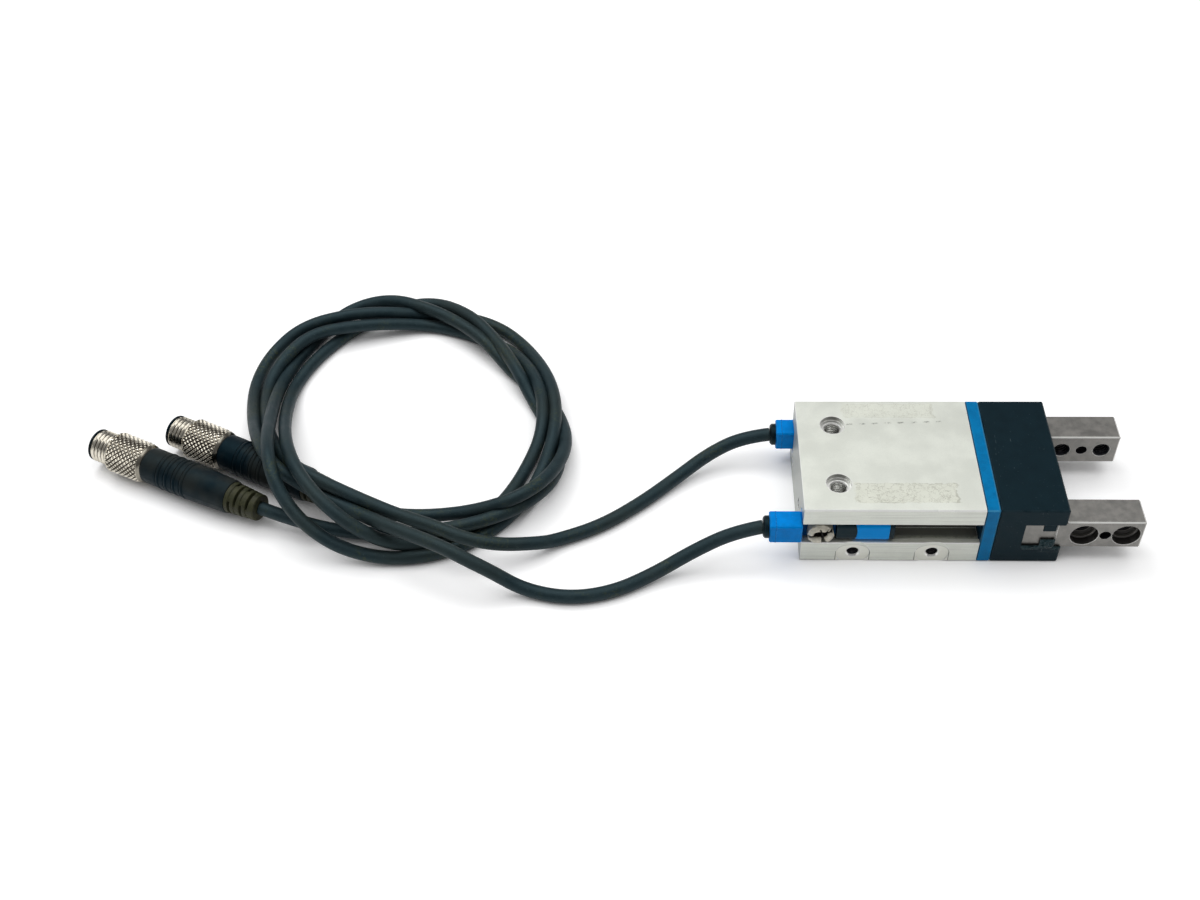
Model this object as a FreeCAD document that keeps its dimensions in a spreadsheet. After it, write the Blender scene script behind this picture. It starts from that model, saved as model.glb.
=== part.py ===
import FreeCAD, Part
import math
import os
import re

import Sketcher
from FreeCAD import Placement, Rotation, Vector

# A pneumatic parallel gripper with two position sensors, their cables and plug connectors.
# Millimetres. +X runs from the rear face to the jaws, +Z is up, the part lies on Z = 0,
# and the origin is midway between the two mounting holes, in the bottom face.

SIZES = {
    # Cylinder body
    "body_length": 38.7,
    "body_width": 34.0,
    "body_height": 16.5,
    "edge_chamfer": 0.3,
    "mount_setback": 8.0,
    "mount_spacing": 18.0,
    "mount_core": 3.3,
    "mount_counterbore": 5.6,
    "mount_counterbore_depth": 1.2,
    "mount_countersink": 0.3,
    "bore": 10.0,
    "bore_floor": 10.0,
    "plug": 2.3,
    "plug_length": 3.0,
    "plug_chamfer": 0.5,
    "plug_inset": 7.0,
    "plug_drop": 4.65,
    "rear_hole": 2.8,
    "rear_hole_depth": 3.0,
    "rear_hole_y": -6.0,
    "rear_hole_drop": 1.45,
    # Sensor slots, the near one above mid-height and the far one as far below it
    "slot_offset": 0.8,
    "slot_mouth": 5.9,
    "slot_lip": 1.2,
    "slot_undercut": 0.6,
    "slot_depth": 5.0,
    # Air ports in the near side
    "port_setback": 11.5,
    "port_spacing": 17.3,
    "port_drop": 5.5,
    "port_core": 2.5,
    "port_countersink": 0.3,
    "port_face": 7.4,
    "port_face_depth": 0.2,
    "port_overrun": 2.0,
    "port_step": 1.0,
    # Cover plate with its spigot, seals and bush
    "cover_thickness": 3.0,
    "spigot_length": 4.0,
    "spigot_clearance": 0.03,
    "oring_width": 1.4,
    "oring_depth": 0.8,
    "oring_setback": 1.2,
    "rod_seal": 7.0,
    "rod_seal_length": 2.5,
    "bush": 5.5,
    "lever_pocket_depth": 1.0,
    "lever_pocket_gap": 0.3,
    # Guide head
    "head_length": 14.7,
    "back_wall": 6.0,
    "tail_length": 4.1,
    "lip_length": 2.7,
    "lip_gap": 2.7,
    "lip_setback": 0.4,
    # Jaws
    "jaw_height": 8.0,
    "jaw_thickness": 7.2,
    "jaw_reach": 17.1,
    "jaw_half_gap": 9.3,
    "jaw_stroke": 3.0,
    "jaw_clearance": 0.08,
    "jaw_chamfer": 0.35,
    "jaw_step_gap": 0.3,
    "tail_width": 12.8,
    "tail_height": 7.2,
    "jaw_hole": 3.3,
    "jaw_hole_setback": 4.4,
    "jaw_hole_spacing": 9.0,
    "jaw_counterbore": 6.2,
    "jaw_counterbore_depth": 3.4,
    "jaw_countersink": 0.35,
    "jaw_dowel": 2.5,
    # Bell-crank levers
    "lever_arm": 5.8,
    "lever_offset": 8.5,
    "lever_thickness": 3.0,
    "lever_clearance": 0.1,
    "lever_boss": 4.4,
    "arm_width": 1.5,
    "nose": 2.2,
    "nose_clearance": 0.03,
    "nose_end_gap": 0.8,
    "pivot_setback": 1.5,
    "pivot_pin": 2.0,
    "pivot_clearance": 0.02,
    "pin_recess": 0.4,
    "pin_length": 12.0,
    # Piston and rod
    "rod": 4.0,
    "rod_clearance": 0.05,
    "rod_head": 8.0,
    "rod_head_clearance": 0.3,
    "rod_neck": 2.8,
    "rod_flange": 1.0,
    "rod_stud": 3.0,
    "stud_depth": 8.0,
    "piston_length": 10.0,
    "piston_clearance": 0.15,
    "piston_end_gap": 3.0,
    "piston_chamfer": 0.4,
    "seal_width": 1.6,
    "seal_depth": 1.25,
    "seal_inset": 1.2,
    "seal_clearance": 0.04,
    "magnet_width": 2.8,
    "magnet_depth": 1.9,
    "magnet_recess": 0.15,
    # Long screws through head and cover into the body
    "screw": 2.0,
    "screw_clearance": 0.1,
    "screw_head": 3.5,
    "screw_head_length": 2.0,
    "screw_head_recess": 0.2,
    "screw_socket": 1.5,
    "screw_socket_depth": 1.0,
    "screw_inset": 4.0,
    "screw_edge": 2.2,
    "screw_grip": 6.0,
    # Position sensors
    "block_length": 7.1,
    "block_width": 5.0,
    "block_height": 5.2,
    "block_proud": 0.6,
    "block_chamfer": 0.3,
    "carrier_length": 7.5,
    "carrier_width": 3.0,
    "sensor_height": 5.6,
    "sensor_width": 4.7,
    "sensor_round": 1.5,
    "sensor_gap": 0.1,
    "barrel_length": 4.5,
    "sleeve_length": 6.9,
    "sleeve_proud": 0.08,
    "cap_length": 1.1,
    "clamp_screw": 5.6,
    "clamp_screw_setback": 4.0,
    "clamp_screw_proud": 1.0,
    "clamp_slot_width": 0.9,
    "clamp_slot_depth": 1.2,
    "far_sensor_shift": 3.1,
    # Cable, collars and coil
    "cable": 3.1,
    "collar": 5.0,
    "collar_length": 1.3,
    "collar_chamfer": 0.4,
    "coil_length": 99.0,
    "coil_width": 76.0,
    "coil_hole_length": 68.0,
    "coil_hole_width": 55.6,
    "coil_turn": 117.0,
    "coil_height": 12.6,
    "coil_centre_x": -99.7,
    "coil_centre_y": 25.0,
    "coil_hole_x": -99.8,
    "coil_hole_y": 25.9,
    "coil_clearance": 0.2,
    # Plug connectors, measured along the axis from the face of the contact carrier
    "rim_diameter": 7.7,
    "rim_length": 0.4,
    "contact_tube": 6.8,
    "contact_hollow": 5.6,
    "contact_depth": 5.0,
    "contact_pin": 1.0,
    "contact_pin_length": 4.2,
    "contact_circle": 3.0,
    "nut_clearance": 0.1,
    "thread": 7.9,
    "thread_end": 5.7,
    "knurl": 9.8,
    "knurl_end": 13.5,
    "nut_collar": 8.9,
    "nut_end": 15.6,
    "grip": 8.6,
    "grip_end_diameter": 7.7,
    "grip_end": 39.6,
    "grip_groove_first": 21.5,
    "grip_groove_pitch": 2.3,
    "grip_groove_width": 0.6,
    "grip_groove_depth": 0.35,
    "relief": 7.4,
    "relief_end_diameter": 6.2,
    "relief_end": 47.4,
    "relief_rib": 1.3,
    "relief_groove": 0.7,
    "relief_groove_depth": 0.9,
    "front_plug_x": -172.7,
    "front_plug_y": 13.8,
    "front_plug_turn": 25.3,
    "rear_plug_x": -155.2,
    "rear_plug_y": 18.5,
    "rear_plug_turn": 26.7,
}

GRIP_GROOVES = 3
RELIEF_RIBS = 4
CONTACTS = 3
BEND_SHARE = 0.45

# Routes of the two free cable stretches after the collar, down to the coil
NEAR_ROUTE = [
    (-22.6, -16.0, 8.3),
    (-31.2, -18.6, 5.2),
    (-40.0, -22.6, 1.9),
    (-49.0, -27.6, 1.55),
    (-58.6, -29.4, 1.55),
    (-68.4, -27.2, 1.6),
    (-77.0, -22.2, 3.4),
    (-82.4, -18.4, 4.9),
]
FAR_ROUTE = [
    (-19.6, 14.9, 6.6),
    (-27.4, 11.9, 4.3),
    (-35.2, 6.0, 2.0),
    (-43.4, -1.6, 1.55),
    (-52.4, -8.6, 1.55),
    (-62.2, -12.9, 1.6),
    (-70.2, -15.3, 2.6),
    (-76.2, -16.4, 4.0),
]
# Route of the cable from the front plug into the coil
PLUG_ROUTE = [
    (-122.2, -10.2, 4.2),
    (-114.6, -12.2, 3.2),
]

doc = FreeCAD.newDocument("gripper")
sheet = doc.addObject("Spreadsheet::Sheet", "Sizes")
for row, (name, value) in enumerate(SIZES.items(), start=1):
    sheet.set(f"A{row}", name)
    sheet.set(f"B{row}", str(value))
    sheet.setAlias(f"B{row}", name)
doc.recompute()

NAMES = re.compile(r"\b(" + "|".join(sorted(SIZES, key=len, reverse=True)) + r")\b")
TURN_TO = {
    "x": Rotation(Vector(0, 1, 0), 90),
    "y": Rotation(Vector(1, 0, 0), -90),
    "z": Rotation(),
}
ROLES = {"xy": "XY_Plane", "xz": "XZ_Plane", "yz": "YZ_Plane"}
nodes = {}

# Places that several pieces share, as rules on the sheet
REAR = "-mount_setback"
FRONT = "(body_length - mount_setback)"
COVER_FRONT = "(body_length - mount_setback + cover_thickness)"
HEAD_FRONT = "(body_length - mount_setback + cover_thickness + head_length)"
MIDDLE = "(body_height / 2)"
SIDE = "(body_width / 2)"
BORE_FLOOR = "(bore_floor - mount_setback)"
TAIL_BACK = f"({COVER_FRONT} + back_wall)"
LIP_BACK = f"({TAIL_BACK} + tail_length)"
LIP_FRONT = f"({LIP_BACK} + lip_length)"
PIVOT_X = f"({COVER_FRONT} + pivot_setback)"
HALF_SWING = "asin(jaw_stroke / 2 / lever_arm)"
GROOVE_X = f"({PIVOT_X} + jaw_stroke / 2)"
GROOVE_HALF = "(nose / 2 + nose_clearance)"
PISTON_BACK = f"({BORE_FLOOR} + piston_end_gap + jaw_stroke)"
PISTON_FRONT = f"({PISTON_BACK} + piston_length)"
PISTON_RADIUS = "(bore / 2 - piston_clearance)"
ROD_HEAD_REACH = f"({GROOVE_HALF} + rod_flange)"
RECESS_FLOOR = f"({GROOVE_X} - jaw_stroke - {ROD_HEAD_REACH} - rod_head_clearance)"
PORT_LEVEL = f"{MIDDLE} - port_drop"
PLUG_PLACE = (REAR, f"{SIDE} - plug_inset", f"{MIDDLE} - plug_drop")
LEVER_ROOM = "(lever_thickness + 2 * lever_clearance)"
JAW_ROOM = "(tail_height + 2 * jaw_clearance)"


def rule(text):
    return NAMES.sub(r"Sizes.\1", text)


def size(name):
    return float(sheet.get(name))


def bind(item, prop, text):
    item.setExpression(prop, rule(text))


def place(item, corner):
    for axis, text in zip("xyz", corner):
        bind(item, f"Placement.Base.{axis}", text)


def box(name, corner, span):
    item = doc.addObject("Part::Box", name)
    for prop, text in zip(("Length", "Width", "Height"), span):
        bind(item, prop, text)
    place(item, corner)
    return item


def rod_shape(name, along, start, diameter, length):
    item = doc.addObject("Part::Cylinder", name)
    item.Placement = Placement(Vector(), TURN_TO[along])
    bind(item, "Radius", f"({diameter}) / 2")
    bind(item, "Height", length)
    place(item, start)
    return item


def cone(name, along, start, diameter, end_diameter, length):
    item = doc.addObject("Part::Cone", name)
    item.Placement = Placement(Vector(), TURN_TO[along])
    bind(item, "Radius1", f"({diameter}) / 2")
    bind(item, "Radius2", f"({end_diameter}) / 2")
    bind(item, "Height", length)
    place(item, start)
    return item


def fuse(name, items):
    joined = doc.addObject("Part::MultiFuse", name)
    joined.Shapes = items
    joined.Refine = True
    return joined


def cut(name, base, tools):
    made = doc.addObject("Part::Cut", name)
    made.Base = base
    made.Tool = tools[0] if len(tools) == 1 else fuse(f"{name}_tools", tools)
    made.Refine = True
    return made


def group(name, items):
    made = doc.addObject("Part::Compound", name)
    made.Links = items
    return made


def keep(item, label):
    item.Label = label
    nodes[label] = item
    return item


def sketch(body, plane, points):
    """A closed outline of straight lines whose corners are rules on the sheet."""
    made = body.newObject("Sketcher::SketchObject", f"{body.Name}_{plane}_outline")
    support = next(f for f in body.Origin.OriginFeatures if f.Role == ROLES[plane])
    made.AttachmentSupport = [(support, "")]
    made.MapMode = "FlatFace"
    count = len(points)
    guess = [Vector(10 * math.cos(k), 10 * math.sin(k), 0) for k in range(count)]
    for k in range(count):
        made.addGeometry(Part.LineSegment(guess[k], guess[(k + 1) % count]), False)
    for k in range(count):
        made.addConstraint(Sketcher.Constraint("Coincident", k, 2, (k + 1) % count, 1))
    for k, corner in enumerate(points):
        for kind, mark, text in (("DistanceX", "u", corner[0]), ("DistanceY", "v", corner[1])):
            index = made.addConstraint(Sketcher.Constraint(kind, -1, 1, k, 1, 1.0))
            made.renameConstraint(index, f"{mark}{k}")
            bind(made, f"Constraints.{mark}{k}", text)
    return made


def new_body(label):
    body = doc.addObject("PartDesign::Body", f"{label}_body")
    doc.recompute()
    return body


def padded(label, plane, points, length):
    """An outline pulled to both sides of its plane."""
    body = new_body(label)
    pad = body.newObject("PartDesign::Pad", f"{label}_pad")
    pad.Profile = sketch(body, plane, points)
    bind(pad, "Length", length)
    pad.Midplane = True
    return body


def turned(label, points):
    """An outline of (along, radius) corners turned about the X axis of its body."""
    body = new_body(label)
    turn = body.newObject("PartDesign::Revolution", f"{label}_turn")
    outline = sketch(body, "xy", points)
    turn.Profile = outline
    turn.ReferenceAxis = (outline, ["H_Axis"])
    turn.Angle = 360.0
    return body


def ring(label, start, end, inner, outer):
    """A plain ring from start to end with those two radii."""
    return turned(label, [(start, inner), (end, inner), (end, outer), (start, outer)])


def on_axis(body):
    bind(body, "Placement.Base.z", MIDDLE)
    return body


def dressed(body, kind, prop, amount, pick):
    """Chamfers or fillets on the chosen edges of the last feature of a body."""
    doc.recompute()
    base = body.Tip
    names = [f"Edge{k}" for k, edge in enumerate(base.Shape.Edges, start=1) if pick(edge)]
    made = body.newObject(f"PartDesign::{kind}", f"{body.Name}_{kind.lower()}")
    made.Base = (base, names)
    bind(made, prop, amount)
    return body


def every_edge(edge):
    return True


def eased_box(label, centre, span, amount):
    """A box about a centre with all of its edges chamfered."""
    half = [f"({text}) / 2" for text in span]
    corners = [(f"{u}{half[0]}", f"{v}{half[1]}") for u, v in ("--", "+-", "++", "-+")]
    body = padded(label, "xy", corners, span[2])
    dressed(body, "Chamfer", "Size", amount, every_edge)
    place(body, centre)
    return body


SCREWS = [
    (f"{side}({SIDE} - screw_inset)", level)
    for side in "-+"
    for level in ("screw_edge", "body_height - screw_edge")
]


def screw_holes(name, start, diameter, length):
    return [
        rod_shape(f"{name}_{k}", "x", (start, y, z), diameter, length)
        for k, (y, z) in enumerate(SCREWS)
    ]


# Cylinder body: an extruded profile with a sensor slot in each side
def slot_corners(centre):
    lip = f"({SIDE} - slot_lip)"
    floor = f"({SIDE} - slot_depth)"
    mouth = "slot_mouth / 2"
    wide = "(slot_mouth / 2 + slot_undercut)"
    half = [(SIDE, mouth), (lip, mouth), (lip, wide), (floor, wide)]
    below = [(y, f"{centre} - {z}") for y, z in half]
    above = [(y, f"{centre} + {z}") for y, z in reversed(half)]
    return below + above


def cylinder_body():
    far = slot_corners(f"({MIDDLE} - slot_offset)")
    near = slot_corners(f"({MIDDLE} + slot_offset)")
    inset = f"({SIDE} - edge_chamfer)"
    top = "body_height - edge_chamfer"
    outline = [(f"-{inset}", "0"), (inset, "0"), (SIDE, "edge_chamfer")]
    outline += far
    outline += [(SIDE, top), (inset, "body_height"), (f"-{inset}", "body_height"), (f"-{SIDE}", top)]
    outline += [(f"-{y}", z) for y, z in reversed(near)]
    outline += [(f"-{SIDE}", "edge_chamfer")]
    profile = padded("profile", "yz", outline, "body_length")
    bind(profile, "Placement.Base.x", f"{REAR} + body_length / 2")
    tools = [rod_shape("bore_tool", "x", (BORE_FLOOR, "0", MIDDLE), "bore", f"{FRONT} - {BORE_FLOOR}")]
    for side in "-+":
        y = f"{side}mount_spacing / 2"
        seat = "body_height - mount_counterbore_depth"
        tools.append(rod_shape("mount_tool", "z", ("0", y, "0"), "mount_core", "body_height"))
        tools.append(
            rod_shape("mount_seat", "z", ("0", y, seat), "mount_counterbore", "mount_counterbore_depth")
        )
        low = ("0", y, f"{seat} - mount_countersink")
        wide = "mount_core + 2 * mount_countersink"
        tools.append(cone("mount_cone", "z", low, "mount_core", wide, "mount_countersink"))
    for k in range(2):
        x = f"{REAR} + port_setback + {k} * port_spacing"
        sunk = f"-{SIDE} + port_face_depth"
        wide = "port_core + 2 * port_countersink"
        face = (x, f"-{SIDE}", PORT_LEVEL)
        depth = f"{SIDE} + port_overrun - {k} * port_step"
        tools.append(rod_shape("port_tool", "y", face, "port_core", depth))
        tools.append(rod_shape("port_seat", "y", face, "port_face", "port_face_depth"))
        tools.append(
            cone("port_cone", "y", (x, sunk, PORT_LEVEL), wide, "port_core", "port_countersink")
        )
    tools += screw_holes("body_screw", f"{FRONT} - screw_grip", "screw", "screw_grip")
    tools.append(rod_shape("plug_tool", "x", PLUG_PLACE, "plug", "plug_length"))
    rear = (REAR, "rear_hole_y", f"{MIDDLE} - rear_hole_drop")
    tools.append(rod_shape("rear_tool", "x", rear, "rear_hole", "rear_hole_depth"))
    keep(cut("housing", profile, tools), "cylinder_body")


def passage_plug():
    end = "plug / 2"
    outline = [("0", "0"), ("plug_length", "0"), ("plug_length", end)]
    outline += [("plug_chamfer", end), ("0", f"{end} - plug_chamfer")]
    body = turned("passage_plug", outline)
    place(body, PLUG_PLACE)
    keep(body, "passage_plug")


# Cover plate with the pieces that seal and guide the rod
SPIGOT_BACK = f"({FRONT} - spigot_length)"
SEAL_FRONT = f"({SPIGOT_BACK} + rod_seal_length)"
ORING_FRONT = f"({FRONT} - oring_setback)"
ORING_BACK = f"({ORING_FRONT} - oring_width)"
ORING_INNER = "bore / 2 - oring_depth"
LEVER_HALF_ROOM = "(lever_offset + lever_boss / 2 + lever_pocket_gap)"
ROD_HEAD_ROOM = "rod_head + 2 * rod_head_clearance"


def lever_pocket(name, start, length):
    corner = (start, f"-{LEVER_HALF_ROOM}", f"{MIDDLE} - {LEVER_ROOM} / 2")
    return box(name, corner, (length, f"2 * {LEVER_HALF_ROOM}", LEVER_ROOM))


def cover_plate():
    centre = (f"{FRONT} + cover_thickness / 2", "0", MIDDLE)
    plate = eased_box("plate", centre, ("cover_thickness", "body_width", "body_height"), "edge_chamfer")
    width = "bore - 2 * spigot_clearance"
    length = f"{COVER_FRONT} - {RECESS_FLOOR}"
    spigot = rod_shape("spigot", "x", (SPIGOT_BACK, "0", MIDDLE), width, "spigot_length")
    groove = on_axis(ring("oring_groove", ORING_BACK, ORING_FRONT, ORING_INNER, "bore / 2"))
    tools = [
        groove,
        rod_shape("seal_seat", "x", (SPIGOT_BACK, "0", MIDDLE), "rod_seal", "rod_seal_length"),
        rod_shape("bush_seat", "x", (SEAL_FRONT, "0", MIDDLE), "bush", f"{COVER_FRONT} - {SEAL_FRONT}"),
        rod_shape("recess", "x", (RECESS_FLOOR, "0", MIDDLE), ROD_HEAD_ROOM, length),
        lever_pocket("cover_pocket", f"{COVER_FRONT} - lever_pocket_depth", "lever_pocket_depth"),
    ]
    tools += screw_holes("cover_screw", FRONT, "screw + 2 * screw_clearance", "cover_thickness")
    keep(cut("cover", fuse("plate_and_spigot", [plate, spigot]), tools), "cover_plate")
    free = "rod / 2 + rod_clearance"
    keep(on_axis(ring("oring", ORING_BACK, ORING_FRONT, ORING_INNER, "bore / 2")), "cover_oring")
    keep(on_axis(ring("rod_lip", SPIGOT_BACK, SEAL_FRONT, free, "rod_seal / 2")), "rod_seal")
    keep(on_axis(ring("guide_bush", SEAL_FRONT, RECESS_FLOOR, free, "bush / 2")), "rod_bush")


# Guide head with the T-slot, the lever cavity, its pins and screws
def across(name, start, end, height):
    corner = (start, f"-{SIDE}", f"{MIDDLE} - ({height}) / 2")
    return box(name, corner, (f"{end} - {start}", "body_width", height))


SCREW_SEAT = f"({HEAD_FRONT} - screw_head_recess - screw_head_length)"


def guide_head():
    centre = (f"{COVER_FRONT} + head_length / 2", "0", MIDDLE)
    block = eased_box("block", centre, ("head_length", "body_width", "body_height"), "edge_chamfer")
    tools = [
        lever_pocket("cavity", COVER_FRONT, "back_wall"),
        rod_shape("rod_room", "x", (COVER_FRONT, "0", MIDDLE), ROD_HEAD_ROOM, "back_wall"),
        across("tail_slot", TAIL_BACK, LIP_BACK, JAW_ROOM),
        across("lip_slot", LIP_BACK, LIP_FRONT, "lip_gap"),
        across("front_slot", LIP_FRONT, HEAD_FRONT, JAW_ROOM),
    ]
    low = f"{MIDDLE} - {JAW_ROOM} / 2"
    for y in (f"-{SIDE}", f"{SIDE} - lip_setback"):
        tools.append(box("lip_end", (LIP_BACK, y, low), ("lip_length", "lip_setback", JAW_ROOM)))
    for side in "-+":
        start = (PIVOT_X, f"{side}lever_offset", "0")
        tools.append(rod_shape("pin_seat", "z", start, "pivot_pin", "pin_recess + pin_length"))
    clear = "screw + 2 * screw_clearance"
    wide = "screw_head + 2 * screw_clearance"
    tools += screw_holes("head_hole", COVER_FRONT, clear, "head_length")
    tools += screw_holes("head_seat", SCREW_SEAT, wide, f"{HEAD_FRONT} - {SCREW_SEAT}")
    keep(cut("head", block, tools), "guide_head")


def lever_pins():
    pins = []
    for side in "-+":
        start = (PIVOT_X, f"{side}lever_offset", "pin_recess")
        pins.append(rod_shape("pivot", "z", start, "pivot_pin", "pin_length"))
    keep(group("pivots", pins), "lever_pins")


def head_screws():
    screws = []
    shank = f"{SCREW_SEAT} - {FRONT} + screw_grip"
    for y, z in SCREWS:
        stem = rod_shape("shank", "x", (f"{FRONT} - screw_grip", y, z), "screw", shank)
        head = rod_shape("screw_top", "x", (SCREW_SEAT, y, z), "screw_head", "screw_head_length")
        start = (f"{HEAD_FRONT} - screw_head_recess - screw_socket_depth", y, z)
        socket = rod_shape("socket", "x", start, "screw_socket", "screw_socket_depth")
        screws.append(cut("long_screw", fuse("screw_blank", [stem, head]), [socket]))
    keep(group("screws", screws), "head_screws")


# Piston with its seals and ring magnet, and the rod with its grooved head
def piston():
    hole = f"{PISTON_FRONT} - stud_depth"
    outer = PISTON_RADIUS
    floor = f"{outer} - seal_depth"
    middle = f"{PISTON_BACK} + piston_length / 2"
    magnet = (f"{middle} - magnet_width / 2", f"{middle} + magnet_width / 2")
    rear = (f"{PISTON_BACK} + seal_inset", f"{PISTON_BACK} + seal_inset + seal_width")
    front = (f"{PISTON_FRONT} - seal_inset - seal_width", f"{PISTON_FRONT} - seal_inset")
    bed = f"{outer} - magnet_depth"
    outline = [(PISTON_BACK, "0"), (hole, "0"), (hole, "rod_stud / 2"), (PISTON_FRONT, "rod_stud / 2")]
    outline += [(PISTON_FRONT, f"{outer} - piston_chamfer"), (f"{PISTON_FRONT} - piston_chamfer", outer)]
    for (start, end), depth in ((front, floor), (magnet, bed), (rear, floor)):
        outline += [(end, outer), (end, depth), (start, depth), (start, outer)]
    outline += [(f"{PISTON_BACK} + piston_chamfer", outer), (PISTON_BACK, f"{outer} - piston_chamfer")]
    keep(on_axis(turned("piston_core", outline)), "piston")
    seals = [
        on_axis(ring(f"seal_{k}", start, end, floor, "bore / 2 - seal_clearance"))
        for k, (start, end) in enumerate((rear, front))
    ]
    keep(group("seals", seals), "piston_seals")
    keep(on_axis(ring("magnet", *magnet, bed, f"{outer} - magnet_recess")), "piston_magnet")


def piston_rod():
    start = f"{PISTON_FRONT} - stud_depth"
    steps = [
        (PISTON_FRONT, "rod_stud"),
        (f"{GROOVE_X} - {ROD_HEAD_REACH}", "rod"),
        (f"{GROOVE_X} - {GROOVE_HALF}", "rod_head"),
        (f"{GROOVE_X} + {GROOVE_HALF}", "rod_neck"),
        (f"{GROOVE_X} + {ROD_HEAD_REACH}", "rod_head"),
    ]
    outline = [(start, "0")]
    for end, diameter in steps:
        outline += [(start, f"{diameter} / 2"), (end, f"{diameter} / 2")]
        start = end
    outline.append((start, "0"))
    keep(on_axis(turned("rod_blank", outline)), "piston_rod")


# Bell-crank levers: two equal arms at a right angle, each with a round nose
def lever(label, side, turn):
    low = "-lever_thickness / 2"
    reach = "lever_arm"
    across_arm = "-arm_width / 2"
    stock = [
        rod_shape("boss", "z", ("0", "0", low), "lever_boss", "lever_thickness"),
        box("arm", ("0", across_arm, low), (reach, "arm_width", "lever_thickness")),
        box("arm", (across_arm, f"-{reach}", low), ("arm_width", reach, "lever_thickness")),
        rod_shape("arm_nose", "z", (reach, "0", low), "nose", "lever_thickness"),
        rod_shape("arm_nose", "z", ("0", f"-{reach}", low), "nose", "lever_thickness"),
    ]
    hole = rod_shape("eye", "z", ("0", "0", low), "pivot_pin + 2 * pivot_clearance", "lever_thickness")
    made = cut("crank", fuse("crank_blank", stock), [hole])
    place(made, (PIVOT_X, f"{side}lever_offset", MIDDLE))
    bind(made, "Placement.Rotation.Angle", turn)
    keep(made, label)


# Jaws: a bar with screw and dowel holes, and a T-shaped tail that runs in the head
def jaw(label, side):
    outer = "(jaw_half_gap + jaw_thickness)"
    back = f"({LIP_FRONT} + jaw_clearance)"
    neck = f"({LIP_BACK} - jaw_clearance)"
    tail = f"({TAIL_BACK} + jaw_clearance)"
    length = f"{HEAD_FRONT} + jaw_reach - {back}"
    centre = (f"{back} + ({length}) / 2", f"{side}(jaw_half_gap + jaw_thickness / 2)", MIDDLE)
    bar = eased_box(f"{label}_bar", centre, (length, "jaw_thickness", "jaw_height"), "jaw_chamfer")
    low = {"-": f"-{outer}", "+": f"{outer} - tail_width"}[side]
    neck_height = "(lip_gap - 2 * jaw_clearance)"
    neck_low = (neck, low, f"{MIDDLE} - {neck_height} / 2")
    tail_low = (tail, low, f"{MIDDLE} - tail_height / 2")
    pieces = [
        bar,
        box("neck", neck_low, (f"{back} - {neck}", "tail_width", neck_height)),
        box("tail", tail_low, (f"{neck} - {tail}", "tail_width", "tail_height")),
    ]
    line = f"{side}(lever_offset + jaw_stroke / 2)"
    depth = f"{PIVOT_X} + lever_arm + nose / 2 + nose_end_gap - {tail}"
    start = (tail, f"{line} - {GROOVE_HALF}", f"{MIDDLE} - tail_height / 2")
    tools = [box("nose_slot", start, (depth, f"2 * {GROOVE_HALF}", "tail_height"))]
    first = f"{HEAD_FRONT} + jaw_hole_setback"
    face = {"-": f"-{outer}", "+": "jaw_half_gap"}[side]
    step = (f"{HEAD_FRONT} + jaw_step_gap - {back}", "jaw_thickness", "(jaw_height - tail_height) / 2")
    for level in (f"{MIDDLE} - jaw_height / 2", f"{MIDDLE} + tail_height / 2"):
        tools.append(box("jaw_step", (back, face, level), step))
    seat = {"-": face, "+": f"{outer} - jaw_counterbore_depth"}[side]
    sink = {"-": "-jaw_half_gap - jaw_countersink", "+": "jaw_half_gap"}[side]
    wide = "jaw_hole + 2 * jaw_countersink"
    mouth = {"-": ("jaw_hole", wide), "+": (wide, "jaw_hole")}[side]
    for k in range(2):
        x = f"{first} + {k} * jaw_hole_spacing"
        tools.append(rod_shape("jaw_bore", "y", (x, face, MIDDLE), "jaw_hole", "jaw_thickness"))
        tools.append(
            rod_shape("jaw_seat", "y", (x, seat, MIDDLE), "jaw_counterbore", "jaw_counterbore_depth")
        )
        tools.append(cone("jaw_sink", "y", (x, sink, MIDDLE), *mouth, "jaw_countersink"))
    middle = f"{first} + jaw_hole_spacing / 2"
    tools.append(rod_shape("dowel", "y", (middle, face, MIDDLE), "jaw_dowel", "jaw_thickness"))
    keep(cut("finger", fuse("finger_blank", pieces), tools), label)


# Position sensors: holder, clamp screw, barrel, sleeve, end cap and cable collar
def section(label, side, start, length, grow):
    half = f"(sensor_width / 2 + {grow})"
    tall = f"(sensor_height / 2 + {grow})"
    corners = [(f"{u}{half}", f"{v}{tall}") for u, v in ("--", "+-", "++", "-+")]
    body = padded(label, "yz", corners, length)
    sign = float(f"{side}1")

    def outer_long_edge(edge):
        middle = edge.CenterOfMass
        return abs(edge.tangentAt(edge.FirstParameter).x) > 0.9 and middle.y * sign > 0

    dressed(body, "Fillet", "Radius", "sensor_round", outer_long_edge)
    level = {"-": f"{MIDDLE} + slot_offset", "+": f"{MIDDLE} - slot_offset"}[side]
    across_slot = f"{side}({SIDE} - slot_depth + sensor_gap + sensor_width / 2)"
    place(body, (f"{start} + ({length}) / 2", across_slot, level))
    return body


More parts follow.
